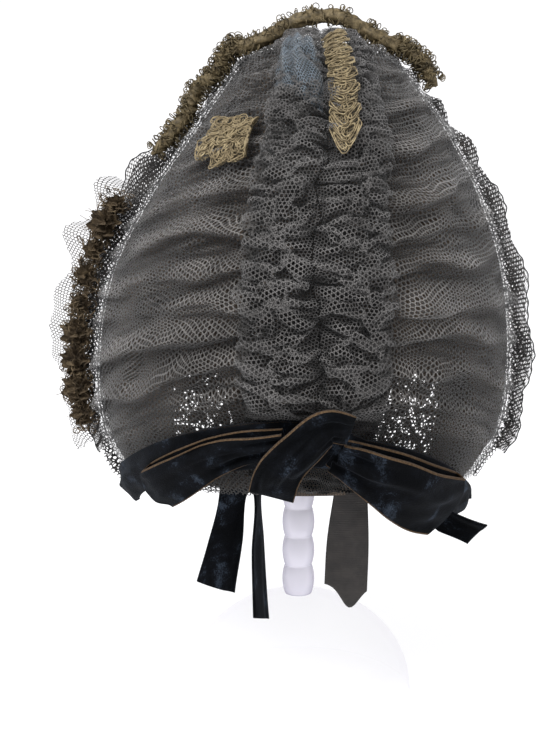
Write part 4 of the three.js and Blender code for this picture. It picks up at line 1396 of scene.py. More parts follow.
        def cubic(values: Array) -> Array:
            """Reads the first axis on a cubic, at thirds of its steps."""
            size = len(values)
            at = np.linspace(0, size - 1, size * 3 - 2)
            low = np.clip(np.floor(at).astype(int), 0, size - 2)
            f = (at - low)[:, None, None]
            a, b, c, d = (values[np.clip(low + k, 0, size - 1)] for k in (-1, 0, 1, 2))
            return b + 0.5 * f * (c - a + f * (2 * a - 5 * b + 4 * c - d + f * (3 * (b - c) + d - a)))

        return np.swapaxes(cubic(np.swapaxes(cubic(grid), 0, 1)), 0, 1)

    def build(self) -> list[Piece]:
        """The strip in its two columns of puffs, and behind them a close net in a dark finish, as painted
        shade.
        """
        flat = self.finer(self.relaxed())
        hung = self.hung(flat)
        # Painted light and shade: the net lighter on the puffs' tops and bends, darker in the hollows
        # between them.
        high = flat[..., 2]
        around_it = np.stack([np.roll(high, k, axis=0) for k in range(-21, 22, 7)]).mean(axis=0)
        bent = 2 * high - np.roll(high, 4, axis=0) - np.roll(high, -4, axis=0)
        light_and_wear = 0.36 + 0.075 * (high - around_it) + 0.045 * (high - 6) + 0.1 * bent.clip(0, 4)
        light_and_wear = np.clip(light_and_wear, 0.0, 1)
        middle = flat.shape[1] // 2
        wide = self.width * self.slack_across * 1e-3
        long = self.length * self.slack_along * 1e-3
        made = []
        for word, part in (("left", slice(0, middle + 1)), ("right", slice(middle, None))):
            grid = hung[:, part]
            cloth, faces = self.mesh.cut(wide / 2, long)
            row = cloth[:, 1] / long * (grid.shape[0] - 1)
            column = cloth[:, 0] / (wide / 2) * (grid.shape[1] - 1)
            fading_and_shade = sampled(light_and_wear[:, part], row, column)
            piece = mesh_object(f"ruching_{word}", sampled(grid, row, column), faces, cloth, fading_and_shade)
            nodes = ["ruched_strip"] if word == "left" else []
            dressed(piece, RUCHED_NET, "silk_net", nodes)
            made.append(piece)
        # The backing: net in the darkest finish, laid under the puffs as painted shade, which also keeps
        # light from coming through them from behind.
        up, across = np.meshgrid(np.linspace(0.01, 0.985, 200), np.linspace(-1, 1, 60), indexing="ij")
        wave = 0.0012 * (1 + Ripple(31)(across * 2, up * 40))
        grid = BODY.raised(RUCHING.around(across, up), up, 0.0008 + wave)
        net = net_over("ruching_backing", grid, self.backing)
        made.append(dressed(net.piece, DEEP_SHADE_NET, "silk_net"))
        net.declare("laid", ["buckram_shell"])
        return made


@dataclass(frozen=True)
class NetTop:
    """How high the plain model's net stands, for what lies on it."""

    def puffs(self, across: Array, up: Array) -> Array:
        """The ruched strip's height: meandering ridges in two columns, lower near the gatherings."""
        around = RUCHING.around(across, up)
        column = np.abs(np.sin(math.pi * across)) ** 0.7
        wander = 0.3 * np.sin(2.6 * across + 11 * up) + 0.22 * np.sin(5.2 * across - 17 * up + 1.1)
        wander = wander + np.where(across > 0, 0.5, 0)
        ridge = 0.5 + 0.5 * np.cos(2 * math.pi * (RUCHING.rows * up + wander))
        foot = smooth((up - BAND.top(BODY, around)) / 0.07)
        top = 1 - 0.5 * smooth((up - 0.75) / 0.25)
        return RUCHING.puff * foot * top * (0.22 + 0.78 * column) * (0.2 + 0.8 * ridge)

    def __call__(self, around: Array, up: Array, reach_around: Any, reach_up: Any) -> Array:
        """The highest that the net stands within a reach of a place.

        Args:
            around: places around.
            up: places up.
            reach_around: reach round the shell, as a share.
            reach_up: reach up it, as a share.

        Returns:
            Heights off the shell, with a gap added.
        """
        top = np.zeros(np.broadcast(around, up).shape)
        for i in range(-3, 4):
            for j in range(-3, 4):
                x = around + i / 3 * reach_around
                y = up + j / 3 * reach_up
                left, right = RUCHING.edge(Side.LEFT, y), RUCHING.edge(Side.RIGHT, y)
                height = self.puffs(2 * (x - left) / (right - left) - 1, y)
                on_left = LEFT_SWAGS.lift(np.clip((x - left) / (-1 - left), 0, 1.2), y)
                on_right = RIGHT_SWAGS.lift(np.clip((x - right) / (1 - right), 0, 1.2), y)
                height = np.where(x < left, on_left, np.where(x > right, on_right, height))
                top = np.maximum(top, height)
        return 2 * LAYER_GAP + NET_WALL + top


NET_TOP = NetTop()


@dataclass
class CrownLoop:
    """The loose loop of blued net that stands over the top of the ruching."""

    height: float = 0.009
    mesh: Mesh = Mesh(0.0019, 0.00055, 0.2)

    def build(self) -> Piece:
        """An arch over a patch of the crown, with creases that run across it."""
        along, across = shares(110, 110)
        around = mix(-0.25, -0.012, across)
        up = mix(mix(0.67, 0.6, across), 0.83, along)
        arch = (np.sin(math.pi * across).clip(0) * np.sin(math.pi * along).clip(0)) ** 0.5
        crease = 0.16 * np.sin(7 * math.pi * across + 5 * along) + 0.12 * Ripple(41)(across * 5, along * 3)
        base = NET_TOP(around, up, 0.02, 0.01)
        base = mix(base.min(), base, 0.55)
        grid = BODY.raised(around, up, base + self.height * arch * (1 + crease))
        # Painted light and shade: lighter on top of the arch and on its creases' crests, darker where it
        # sits low.
        light_and_wear = np.clip(0.35 + 0.6 * arch * (1 + 2 * crease), 0, 1)
        net = net_over("net_over_crown", grid, self.mesh, light_and_wear=light_and_wear)
        net.declare("gathered", ["ruching_left"])
        return dressed(net.piece, CROWN_NET, "silk_net", ["crown_puff"])


# Velvet

BOW_WIDTH = 0.033
VELVET_WALL = 0.0016
LOOP_GAP = 0.0024
BAND_LIFT = LAYER_GAP + NET_WALL + LAYER_GAP
LOOP_LIFT = BAND_LIFT + BAND.crown + BAND.wall + LAYER_GAP
KNOT_LIFT = LOOP_LIFT + 2 * VELVET_WALL + LOOP_GAP + LAYER_GAP
RIBBON_UV = 0.025


@dataclass
class NapeBand:
    """The velvet band round the nape: a crowned ribbon, crushed and slightly slack along its length."""

    reach: float = 0.97
    slack: float = 0.0007
    sunk: float = 0.55

    def face(self, wall: float) -> Face:
        """One face of the band, at a distance from its inner one.

        Args:
            wall: the distance.

        Returns:
            The function of shares across the back and up the band.
        """

        def place(across: Array, along: Array) -> Array:
            """Crowned by 1 less the square of the place across it, and rippled."""
            around = self.reach * (2 * across - 1)
            width = 2 * along - 1
            half = BAND.height / 2 * read(BAND.around, BAND.share, around)
            half = half * np.where(width > 0, 1 - self.sunk * smooth((around - 0.04) / 0.16), 1)
            up = read(BAND.around, BAND.up, around) + BODY.share_up(half * width)
            crown = BAND.crown * (1 - width * width)
            slack = self.slack * Ripple(61)(across * 9, along * 1.3) * (1 - width**4)
            fold = 0.0008 * bell((along - 0.62 - 0.08 * np.sin(9 * across)) / 0.07)
            return BODY.raised(around, up, BAND_LIFT + wall + crown + slack + fold + 0.0004)

        return place

    def build(self) -> Piece:
        """The band as a closed sheet."""
        along, across = shares(26, 260)
        uv = np.stack([across * 0.4, along * RIBBON_UV], axis=-1)
        outer, inner = (self.face(wall)(across, along) for wall in (BAND.wall, 0))
        piece = closed_sheet("velvet_band", outer, inner, uv)
        return dressed(piece, VELVET_END, "silk_velvet", ["nape_band"])


@dataclass(frozen=True)
class LaidRibbon:
    """The middle line of a ribbon laid on the bonnet: rows of around, up and share of the bow's width."""

    rows: tuple
    lift: Callable[[Array], Array]

    def at(self, column: int, share: Array) -> Array:
        """One column of the rows, read at a share along them."""
        places = np.linspace(0, 1, len(self.rows))
        return read(places, [row[column] for row in self.rows], share)

    def point(self, share: Array) -> Array:
        """The middle's place at a share."""
        return BODY.raised(self.at(0, share), self.at(1, share), self.lift(np.clip(share, 0, 1)))

    def frame(self, share: Array) -> tuple[Array, Array, Array, Array, Array]:
        """Place, direction, lifting direction, sideways direction and width at shares."""
        run = unit(self.point(share + 1e-3) - self.point(share - 1e-3))
        normal = BODY.normal(self.at(0, share), self.at(1, share))
        normal = unit(normal - run * (normal * run).sum(-1, keepdims=True))
        return self.point(share), run, normal, unit(np.cross(normal, run)), BOW_WIDTH * self.at(2, share)


@dataclass
class BowLoop:
    """A loop of the bow: out along its line, round at its end, and back underneath."""

    name: str
    node: str
    rows: tuple
    seed: int
    crease_line: float
    crease: float = 0.0022
    bulge: float = 0.003
    turn: float = 0.2
    rounded: float = 0.15

    def face(self, wall: float) -> Face:
        """One face of the loop's wall.

        Args:
            wall: distance off the wall's middle.

        Returns:
            The function of shares along the strip and across the ribbon.
        """
        line = LaidRibbon(self.rows, lambda share: LOOP_LIFT + VELVET_WALL + LOOP_GAP / 2 + 0 * share)
        radius = (LOOP_GAP + VELVET_WALL) / 2

        def place(across: Array, along: Array) -> Array:
            """Half a circle at the turn joins two straight runs; the upper run bulges and is creased."""
            straight = (1 - self.turn) / 2
            back = across > 1 - straight
            share = np.where(back, (1 - across) / straight, np.minimum(across / straight, 1.0))
            angle = math.pi * np.clip((across - straight) / self.turn, 0, 1)
            share = share * (1 - self.rounded * np.abs(2 * along - 1) ** 2.5)
            point, run, normal, side, width = line.frame(share)
            upper = across < straight + self.turn / 2
            fan = np.sin(math.pi * np.clip(share, 0, 1))
            bulge = self.bulge * fan
            ripple = 0.0011 * Ripple(self.seed)(share * 2.2, along * 2.6) * smooth(share / 0.15)
            spread = 1 - smooth((share - 0.15) / 0.85)
            middle = mix(0.5, self.crease_line, smooth(share / 0.5))
            crease = self.crease * bell((along - middle) / mix(0.1, 0.16, share)) * smooth(1.2 - share)
            pleats = 0.0012 * np.cos(2 * math.pi * 2.5 * (along - 0.5)) * spread
            raise_by = np.where(upper, bulge + ripple + crease + pleats + 0.0012, 0)
            raise_by = raise_by * smooth((1.04 - share) / 0.2)
            off = radius + wall
            return (
                point
                + side * ((along - 0.5) * width)[..., None]
                + normal * (off * np.cos(angle) + raise_by)[..., None]
                + run * (off * np.sin(angle))[..., None]
            )

        return place

    def build(self) -> Piece:
        """The loop as a closed sheet."""
        across, along = shares(130, 36)
        uv = np.stack([across * 0.14, along * RIBBON_UV], axis=-1)
        outer, inner = (self.face(wall)(across, along) for wall in (VELVET_WALL / 2, -VELVET_WALL / 2))
        return dressed(closed_sheet(self.name, outer, inner, uv), VELVET, "silk_velvet", [self.node])


@dataclass
class BowKnot:
    """The knot of the bow: one ribbon laid slantwise over the loops, with long creases."""

    rows: tuple = (
        (0.11, 0.15, 0.45),
        (0.045, 0.158, 0.58),
        (-0.02, 0.126, 0.64),
        (-0.075, 0.086, 0.67),
        (-0.1, 0.046, 0.67),
    )
    bulge: float = 0.006
    crease: float = 0.0014

    def face(self, wall: float) -> Face:
        """One face of the knot's ribbon, at a distance from its middle."""
        line = LaidRibbon(self.rows, lambda share: KNOT_LIFT + self.bulge * np.sin(math.pi * share))

        def place(across: Array, along: Array) -> Array:
            """Creases run along the ribbon, as a sine across it that drifts along it."""
            point, _, normal, side, width = line.frame(across)
            swell = np.sin(math.pi * across)
            crease = self.crease * (1 + np.sin(3 * math.pi * along + 4 * across)) * swell
            fine = 0.0008 * Ripple(71)(across * 2.4, along * 4) * smooth(swell * 2)
            tuck = -0.004 * (2 * np.abs(along - 0.5)) ** 4 * swell
            off = wall + crease + fine + tuck + 0.0012
            return point + side * ((along - 0.5) * width)[..., None] + normal * off[..., None]

        return place

    def build(self) -> Piece:
        """The knot as a closed sheet."""
        across, along = shares(90, 40)
        uv = np.stack([across * 0.06, along * RIBBON_UV], axis=-1)
        outer, inner = (self.face(wall)(across, along) for wall in (VELVET_WALL / 2, -VELVET_WALL / 2))
        return dressed(closed_sheet("velvet_knot", outer, inner, uv), VELVET, "silk_velvet", ["bow_knot"])


class Cut(Enum):
    """How a ribbon's end is cut."""

    SLANTED = "slanted"
    POINTED = "pointed"


@dataclass
class RibbonEnd:
    """A ribbon end that hangs from inside the nape. Its rows are drop, sideways and forward drift as shares
    of the longest drop, the ribbon's turn in degrees, and its width as a share of the ribbon's."""

    name: str
    node: str
    around: float
    inset: float
    rows: tuple
    finish: Finish
    slot: str = "silk_velvet"
    cut: Cut = Cut.SLANTED
    curl: float = 0.0
    width: float = 0.025
    length: float = 0.08
    wall: float = 0.0012
    slant: float = 0.007

    def face(self, wall: float) -> Face:
        """One face of the hanging end, at a distance from its middle."""
        inside = -(0.002 + 0.0042 * self.inset + self.wall)
        start = BODY.raised(self.around, 0.06, inside)
        edge = BODY.raised(self.around, 0.01, inside)
        direction = BODY.along_around(self.around, 0)
        lead = math.degrees(math.atan2(direction[1], direction[0]))
        rows = [(*start, lead, 0.5), (*edge, lead, 0.6)]
        for drop, side, forward, turn, width in self.rows:
            place = edge + self.length * np.array([side, forward, -drop])
            rows.append((*place, turn, width))
        places = np.linspace(0, 1, len(rows))
        at = lambda column, share: read(places, [row[column] for row in rows], share)
        point = lambda share: np.stack([at(k, share) for k in range(3)], axis=-1)

        def place(across: Array, along: Array) -> Array:
            """The ribbon's width lies at its turn, square to the way that it runs."""
            run = unit(point(across + 1e-3) - point(across - 1e-3))
            angle = np.radians(at(3, across))
            side = np.stack([np.cos(angle), np.sin(angle), 0 * angle], axis=-1)
            side = unit(side - run * (side * run).sum(-1, keepdims=True))
            normal = np.cross(side, run)
            late = smooth((across - 0.75) * 4)
            cut = self.slant * (along - 0.5) * late
            if self.cut is Cut.POINTED:
                cut = (0.0115 * bell((along - 0.62) / 0.3) - 0.006) * late
            curl = self.curl * (2 * along - 1) ** 2 * smooth((across - 0.3) / 0.5)
            wave = 0.0006 * Ripple(81)(across * 2, along * 1.5) * smooth((across - 0.25) / 0.3)
            middle = point(across) + side * ((along - 0.5) * self.width * at(4, across))[..., None]
            return middle + run * cut[..., None] + normal * (wall + curl + wave)[..., None]

        return place

    def build(self) -> Piece:
        """The end as a closed sheet."""
        across, along = shares(90, 16)
        uv = np.stack([across * 0.1, along * RIBBON_UV], axis=-1)
        outer, inner = (self.face(wall)(across, along) for wall in (self.wall / 2, -self.wall / 2))
        return dressed(closed_sheet(self.name, outer, inner, uv), self.finish, self.slot, [self.node])


LEFT_LOOP = ((-0.06, 0.128, 0.32), (-0.2, 0.112, 0.44), (-0.38, 0.068, 0.66), (-0.58, 0.018, 0.74))
RIGHT_LOOP = ((0.08, 0.105, 0.48), (0.25, 0.064, 0.86), (0.42, 0.02, 1.06), (0.62, -0.012, 0.98))


LEFT_END = ((0.125, -0.013, 0.013, 30, 0.6), (0.425, -0.05, 0.05, 38, 0.85), (0.725, -0.113, 0.05, 34, 1))
NARROW_END = ((0.125, 0, 0.05, 74, 0.5), (0.525, 0, 0.087, 76, 0.8), (1, 0.019, 0.075, 68, 0.8))
RIGHT_END = ((0.125, 0, 0.025, 4, 0.68), (0.425, -0.013, 0.05, -6, 0.84), (0.775, -0.025, 0.05, -10, 0.86))
SIDE_END = ((0.25, -0.025, 0.037, 50, 0.6), (0.35, 0.1, 0.037, 36, 0.7), (0.438, 0.325, 0, 30, 0.8))


@dataclass
class VelvetTrim:
    """The band, the bow and the four hanging ends."""

    def build(self) -> list[Piece]:
        """All the velvet."""
        back = ("ribbon_back_end", "ribbon_tail_right", 0.2, 1.05, RIGHT_END, VELVET_BACK)
        pieces = [
            NapeBand(),
            BowLoop("velvet_loop_left", "bow_loop_left", LEFT_LOOP, 62, 0.3),
            BowLoop("velvet_loop_right", "bow_loop_right", RIGHT_LOOP, 63, 0.66, 0.0034),
            BowKnot(),
            RibbonEnd("velvet_end_left", "ribbon_tail_left", -0.29, 0.9, LEFT_END, VELVET_END, curl=0.0018),
            RibbonEnd("velvet_end_narrow", "ribbon_tail_narrow", -0.21, 2.75, NARROW_END, VELVET_END),
            RibbonEnd(*back, slot="velvet_reverse", cut=Cut.POINTED),
            RibbonEnd("velvet_end_side", "ribbon_tail_side", 0.66, 1.9, SIDE_END, VELVET_END, curl=0.001),
        ]
        return [piece.build() for piece in pieces]


# Lace and beads


@dataclass
class LaceTongue:
    """A tongue of gimp lace laid over the net: a ground of net under rows of looped cord, scalloped below.

    dip is how far each scallop hangs down, and point how much shorter the tongue is at its two sides.
    """

    name: str
    node: str
    around: float
    up: float
    width: float
    length: float
    slant: float
    scallops: int
    seed: int
    columns: int
    rows: int
    cord: float = 0.00036
    dip: float = 0.14
    point: float = 0.0
    mesh: Mesh = Mesh(0.0016, 0.0006, 0.4)

    def face(self, across: Array, along: Array, lift: Any) -> Array:
        """A place on the lace: down its length, wider below, each scallop a rounded dip of its edge.

        Args:
            across: share across it.
            along: share down it.
            lift: distance above its plain solid's foot.

        Returns:
            The places.
        """
        arches = np.abs(np.sin(math.pi * self.scallops * across))
        dip = along * (self.dip * arches - self.point * (2 * across - 1) ** 2)
        side = (across - 0.5) * self.width * mix(0.84, 1, along)
        drop = self.length * along * (1 + dip) + 0.037 * self.slant * (across - 0.5)
        spot = self.up - BODY.share_up(drop)
        place = self.around + BODY.share_around(side, spot)
        ruffle = 0.0006 * (1 + np.sin(math.pi * self.scallops * across)) * along
        top = NET_TOP(place, spot, BODY.share_around(self.width / 7, spot), BODY.share_up(self.length / 9))
        return BODY.raised(place, spot, top + ruffle + lift)

    def loops(self) -> Skin:
        """Rows of looped cord: each loop is a drop-shaped ring that leans with its scallop.

        A ring's place is its centre plus its radius times the sine and the cosine of the angle,
        with the radius larger towards its lower end.
        """
        rng = np.random.default_rng(self.seed)
        angle = circle(16)
        i, j = np.meshgrid(np.arange(self.columns), np.arange(self.rows))
        i, j = i.ravel() + 0.5 * (j.ravel() % 2), j.ravel()
        count = len(i)
        centre_x = (i + 0.5 + rng.uniform(-0.25, 0.25, count)) / (self.columns + 0.5)
        centre_y = (j + 0.6 + rng.uniform(-0.25, 0.25, count)) / (self.rows + 0.1)
        lean = rng.uniform(-0.6, 0.6, count) + 1.2 * (centre_x - 0.5)
        size = rng.uniform(0.75, 1.25, count)
        parts = []
        for ring in (1.0, 0.62):
            wide = ring * size * 0.62 / self.columns
            tall = ring * size * 0.66 / self.rows
            bulb = 1 + 0.3 * np.cos(angle)[None]
            x0 = wide[:, None] * np.sin(angle)[None] * bulb
            y0 = tall[:, None] * np.cos(angle)[None]
            ratio = self.length / self.width
            x = x0 * np.cos(lean)[:, None] + y0 * ratio * np.sin(lean)[:, None]
            y = y0 * np.cos(lean)[:, None] - x0 / ratio * np.sin(lean)[:, None]
            lift = 0.0013 + 0.0008 * rng.uniform(0, 1, (count, 1)) + 0.0006 * np.cos(angle)[None]
            across = np.clip(centre_x[:, None] + x, -0.03, 1.03)
            along = np.clip(centre_y[:, None] + y, -0.05, 1.06)
            path = self.face(across, along, lift)
            around = self.around + BODY.share_around((across - 0.5) * self.width, self.up)
            lead = BODY.normal(around, np.full_like(around, self.up))
            parts.append(tube_arrays(path, lead, self.cord, 4, True))
        return joined(parts)

    def build(self) -> list[Piece]:
        """The ground of net and the looped cord on it."""
        along, across = shares(60, 70)
        grid = self.face(across, along, 0.0004)
        net = net_over(self.name + "_ground", grid, self.mesh)
        points, faces = self.loops()
        cords = dressed(mesh_object(self.name, points, faces), GIMP, "metallic_lace", [self.node])
        net.declare("laid", ["ruching_left"], [cords])
        return [dressed(net.piece, GIMP, "metallic_lace"), cords]


SCALLOPS = LaceTongue(
    "lace_scallops", "lace_tab", around=-0.42, up=0.618, width=0.0303, length=0.0274, slant=0.12, scallops=3,
    seed=94, columns=8, rows=6, dip=0.22, point=0.22,
)
STREAMER = LaceTongue(
    "lace_streamer", "lace_fall", around=0.062, up=0.83, width=0.0096, length=0.088, slant=0.05, scallops=1,
    seed=95, columns=2, rows=16,
)


@dataclass
class LaceRoll:
    """The gathered rope of gimp lace along the top of the brim, with loose loops and glass beads."""

    start: float = -0.54
    end: float = 0.37
    radius: float = 0.006
    inset: float = 0.007
    loops: int = 1000
    cord: float = 0.0003

    def line(self, share: Array) -> tuple[Array, Array]:
        """The rope's middle and its outward direction at shares along it."""
        places = np.arange(self.start, self.end, 0.04)
        around, up = BODY.brim_place(places)
        top = NET_TOP(around, up - BODY.share_up(self.inset), 0.1, BODY.share_up(self.radius))
        lift = top + 0.92 * self.radius + 0.0012 * (1 + np.sin(31 * places))
        points = BODY.off_brim(places, -self.inset, lift)
        at = np.linspace(0, 1, len(places))
        middle = np.stack([read(at, points[:, k], share) for k in range(3)], axis=-1)
        return middle, BODY.normal(*BODY.brim_place(mix(self.start, self.end, share)))

    def build(self) -> list[Piece]:
        """A lumpy core, loops that stand out of it all round, and a few beads."""
        share = np.linspace(0, 1, 260)
        middle, lead = self.line(share)
        run = unit(np.gradient(middle, axis=0))
        side = unit(np.cross(lead, run))
        up = np.cross(run, side)
        angle = circle(28)
        lump = 0.78 + 0.14 * Ripple(91)(share[:, None] * 60, np.cos(angle)[None] * 1.2)
        ends = smooth(0.3 + 14 * np.minimum(share, 1 - share))[:, None]
        radius = (0.78 * self.radius * lump * ends)[..., None]
        ring = side[:, None] * np.cos(angle)[None, :, None] + up[:, None] * np.sin(angle)[None, :, None]
        points = middle[:, None] + radius * ring
        core = mesh_object("lace_roll_core", *capped(points, middle[[0, -1]]))
        dressed(core, CORE_GIMP, "metallic_lace", ["lace_roll"])
        rng = np.random.default_rng(92)
        at = rng.uniform(0.01, 0.99, self.loops)
        centre, lead = self.line(at)
        ahead, _ = self.line(np.clip(at + 1e-3, 0, 1))
        behind, _ = self.line(np.clip(at - 1e-3, 0, 1))
        run = unit(ahead - behind)
        side = unit(np.cross(lead, run))
        up = np.cross(run, side)
        turn = rng.uniform(0, 2 * math.pi, self.loops)[:, None]
        out = side * np.cos(turn) + up * np.sin(turn)
        skew = unit(np.cross(run, out) + run * rng.uniform(-1.5, 1.5, self.loops)[:, None])
        size = rng.uniform(0.0009, 0.0024, self.loops)[:, None, None]
        angle = circle(10)
        path = (
            (centre + out * self.radius * 0.66)[:, None]
            + size * (1 + np.cos(angle))[None, :, None] * out[:, None] * 0.75
            + size * np.sin(angle)[None, :, None] * skew[:, None]
        )
        skin = tube_arrays(path, np.cross(out, skew)[:, None], self.cord, 3, True)
        loops = dressed(mesh_object("lace_roll", *skin), ROLL_GIMP, "metallic_lace")
        return [core, loops, self.beads()]

    def beads(self) -> Piece:
        """Round beads just outside the rope, each a small sphere of rings and poles."""
        rng = np.random.default_rng(93)
        at = np.array([0.02, 0.035, 0.05, 0.07, 0.085, 0.1, 0.13, 0.16, 0.2])
        centre, lead = self.line(at)
        place = mix(self.start, self.end, at)
        outward = unit(BODY.off_brim(place, 0.01, 0) - BODY.off_brim(place, 0, 0))
        centre = centre + outward * (self.radius + 0.003 + 0.002 * rng.uniform(0, 1, (9, 1))) + lead * 0.001
        phi, theta = np.meshgrid(np.linspace(0, math.pi, 8), circle(12), indexing="ij")
        ball = np.stack([np.sin(phi) * np.cos(theta), np.sin(phi) * np.sin(theta), np.cos(phi)], axis=-1)
        faces = grid_faces(8, 12, False, True)
        points, faces = joined([(middle + 0.0014 * ball, faces) for middle in centre])
        beads = mesh_object("glass_beads", points, turned_outwards(points, faces))
        return dressed(beads, BEAD, "metallic_lace")


# Garland


@dataclass
class Garland:
    """The gathered trimming down the left brim: a cord, nine gathered blossoms, frayed net behind them."""

    places: tuple = (-0.64, -0.67, -0.708, -0.745, -0.785, -0.828, -0.867, -0.907, -0.945)
    sizes: tuple = (0.7, 1.15, 0.75, 0.8, 0.7, 1, 1.05, 1.05, 0.8)
    radius: float = 0.006
    share: float = 0.55
    cord_radius: float = 0.0009

    def offset(self) -> float:
        """Distance of the cord's middle off the frill's."""
        return FRILL.wave * self.share + 0.65 * LAYER_GAP + 0.0005 + self.cord_radius

    def above(self, place: Array, height: Any) -> Array:
        """Places over the cord, a height off its upper side."""
        return FRILL.off(place, self.share, self.offset() + self.cord_radius + height)

    def blossom(self, index: int) -> Piece:
        """One gathered blossom: three ruffled cups, one inside the next.

        A cup's radius grows with the place up it, its rim waves up and down, and its depth is the
        square of the place.

        Args:
            index: which blossom, from 0.

        Returns:
            The piece.
        """
        rng = np.random.default_rng(100 + index)
        size = self.radius * self.sizes[index] * 1.3
        place = self.places[index]
        centre = self.above(place, 0.95 * self.radius * self.sizes[index])
        out = unit(centre - FRILL.off(place, self.share, 0.0))
        first = unit(np.cross(out, [0.0, 0.2, 1.0]))
        second = np.cross(out, first)
        parts = []
        for reach, depth, petals in ((1.0, 0.2, 7), (0.72, 0.55, 6), (0.42, 0.85, 4)):
            up, turn = np.meshgrid(np.linspace(0.05, 1, 9), circle(48), indexing="ij")
            phase = rng.uniform(0, 6.3)
            wave = np.sin(petals * turn + phase) + 0.5 * np.sin((2 * petals + 1) * turn + 2 * phase)
            radius = size * reach * up**0.8 * (1 + 0.16 * wave * up)
            height = size * (depth - 0.75 + 0.5 * up**2 + 0.26 * up * np.cos(petals * turn + phase))
            tilt = rng.uniform(-0.25, 0.25, 2)
            x, y = radius * np.cos(turn), radius * np.sin(turn)
            height = height + tilt[0] * x + tilt[1] * y
            outer = centre + first * x[..., None] + second * y[..., None] + out * height[..., None]
            thin = outer - out * 0.0005
            rows, columns = outer.shape[:2]
            face = grid_faces(rows, columns, False, True)
            count = rows * columns
            rim = np.arange(columns)
            nextrim = np.roll(rim, -1)
            lower = np.stack([rim, nextrim, nextrim + count, rim + count], 1)
            top = (rows - 1) * columns
            upper = np.stack([nextrim + top, rim + top, rim + top + count, nextrim + top + count], 1)
            points = np.concatenate([outer.reshape(-1, 3), thin.reshape(-1, 3)])
            faces = np.concatenate([face, face[:, ::-1] + count, lower, upper])
            parts.append((points, turned_outwards(points, faces)))
        points, faces = joined(parts)
        piece = mesh_object(f"gauze_blossom_{index + 1}", points, faces)
        return dressed(piece, GARLAND, "garland_gauze", [f"blossom_{index + 1}"])

    def build(self) -> list[Piece]:
        """The cord, the blossoms, and the loose net that hangs out behind them."""
        place = np.linspace(-0.625, -0.96, 90)
        path = FRILL.off(place, np.full(90, self.share), np.full(90, self.offset()))
        lead = BODY.normal(*BODY.brim_place(place))
        radius = self.cord_radius * (1 + 0.25 * np.sin(np.arange(90) * 1.3))
        points, faces = tube_arrays(path[None], lead[None], radius[None], 8)
        cord = mesh_object("garland_cord_wound", points, faces)
        dressed(cord, GARLAND, "garland_gauze", ["garland_cord"])
        return [cord] + [self.blossom(i) for i in range(9)] + [self.net(), self.fibres(), self.chenille()]

    def chenille(self) -> Piece:
        """Loose round loops of thin chenille gathered along the cord, thickest at the blossoms."""
        rng = np.random.default_rng(114)
        count = 420
        at = rng.uniform(-0.963, -0.628, count)
        near = np.abs(at[:, None] - np.array(self.places)).min(axis=1)
        spread = 0.0035 + 0.004 * bell(near / 0.014)
        foot = self.above(at, 0.6 * spread)
        centre = foot + rng.normal(size=(count, 3)).clip(-1.5, 1.5) * spread[:, None] * [0.7, 0.3, 0.7]
        first = unit(rng.normal(size=(count, 3)))
        second = unit(np.cross(first, rng.normal(size=(count, 3))))
        size = rng.uniform(0.0009, 0.0026, count)[:, None, None]
        angle = circle(9)
        ring = np.cos(angle)[None, :, None] * first[:, None] + np.sin(angle)[None, :, None] * second[:, None]
        lead = np.cross(first, second)[:, None]
        points, faces = tube_arrays(centre[:, None] + size * ring, lead, 0.0003, 3, True)
        return dressed(mesh_object("chenille_loops", points, faces), GARLAND, "garland_gauze")

    def net(self) -> Piece:
        """A strip of old net that stands out past the blossoms, ragged at its edge."""
        place, share = np.meshgrid(np.linspace(-0.6, -0.985, 200), np.linspace(0, 1, 30), indexing="ij")
        width = 1.5 + 0.3 * Ripple(111)(place * 14, 0) - 0.5 * smooth((-0.64 - place) / -0.05)
        wave = 0.004 * share * Ripple(112)(place * 16, share * 0.8)
        grid = FRILL.off(place, 0.25 + share * width, 0.001 + wave)
        net = net_over("garland_net", grid, Mesh(0.0018, 0.00042, 0.8), light_and_wear=0.8 + 0 * share)
        net.declare("hung", ["garland_cord_wound"])
        return dressed(net.piece, TOP_NET, "garland_gauze")

    def fibres(self) -> Piece:
        """Short frayed fibres round the blossoms: arcs that start in a blossom and bend away."""
        rng = np.random.default_rng(113)
        count, steps = 260, 7
        which = rng.integers(0, 9, count)
        place = np.array(self.places)[which]
        size = np.array(self.sizes)[which] * self.radius
        centre = self.above(place, 0.9 * size)
        way = unit(rng.normal(size=(count, 3)))
        bend = unit(np.cross(way, rng.normal(size=(count, 3))))
        t = np.linspace(0, 1, steps)[None, :, None]
        reach = (size * rng.uniform(0.9, 1.7, count))[:, None, None]
        path = centre[:, None] + way[:, None] * reach * t + bend[:, None] * reach * 0.6 * t**2
        points, faces = tube_arrays(path, np.cross(way, bend)[:, None], 0.00016, 3)
        return dressed(mesh_object("frayed_fibres", points, faces), GARLAND, "garland_gauze")


# Stand


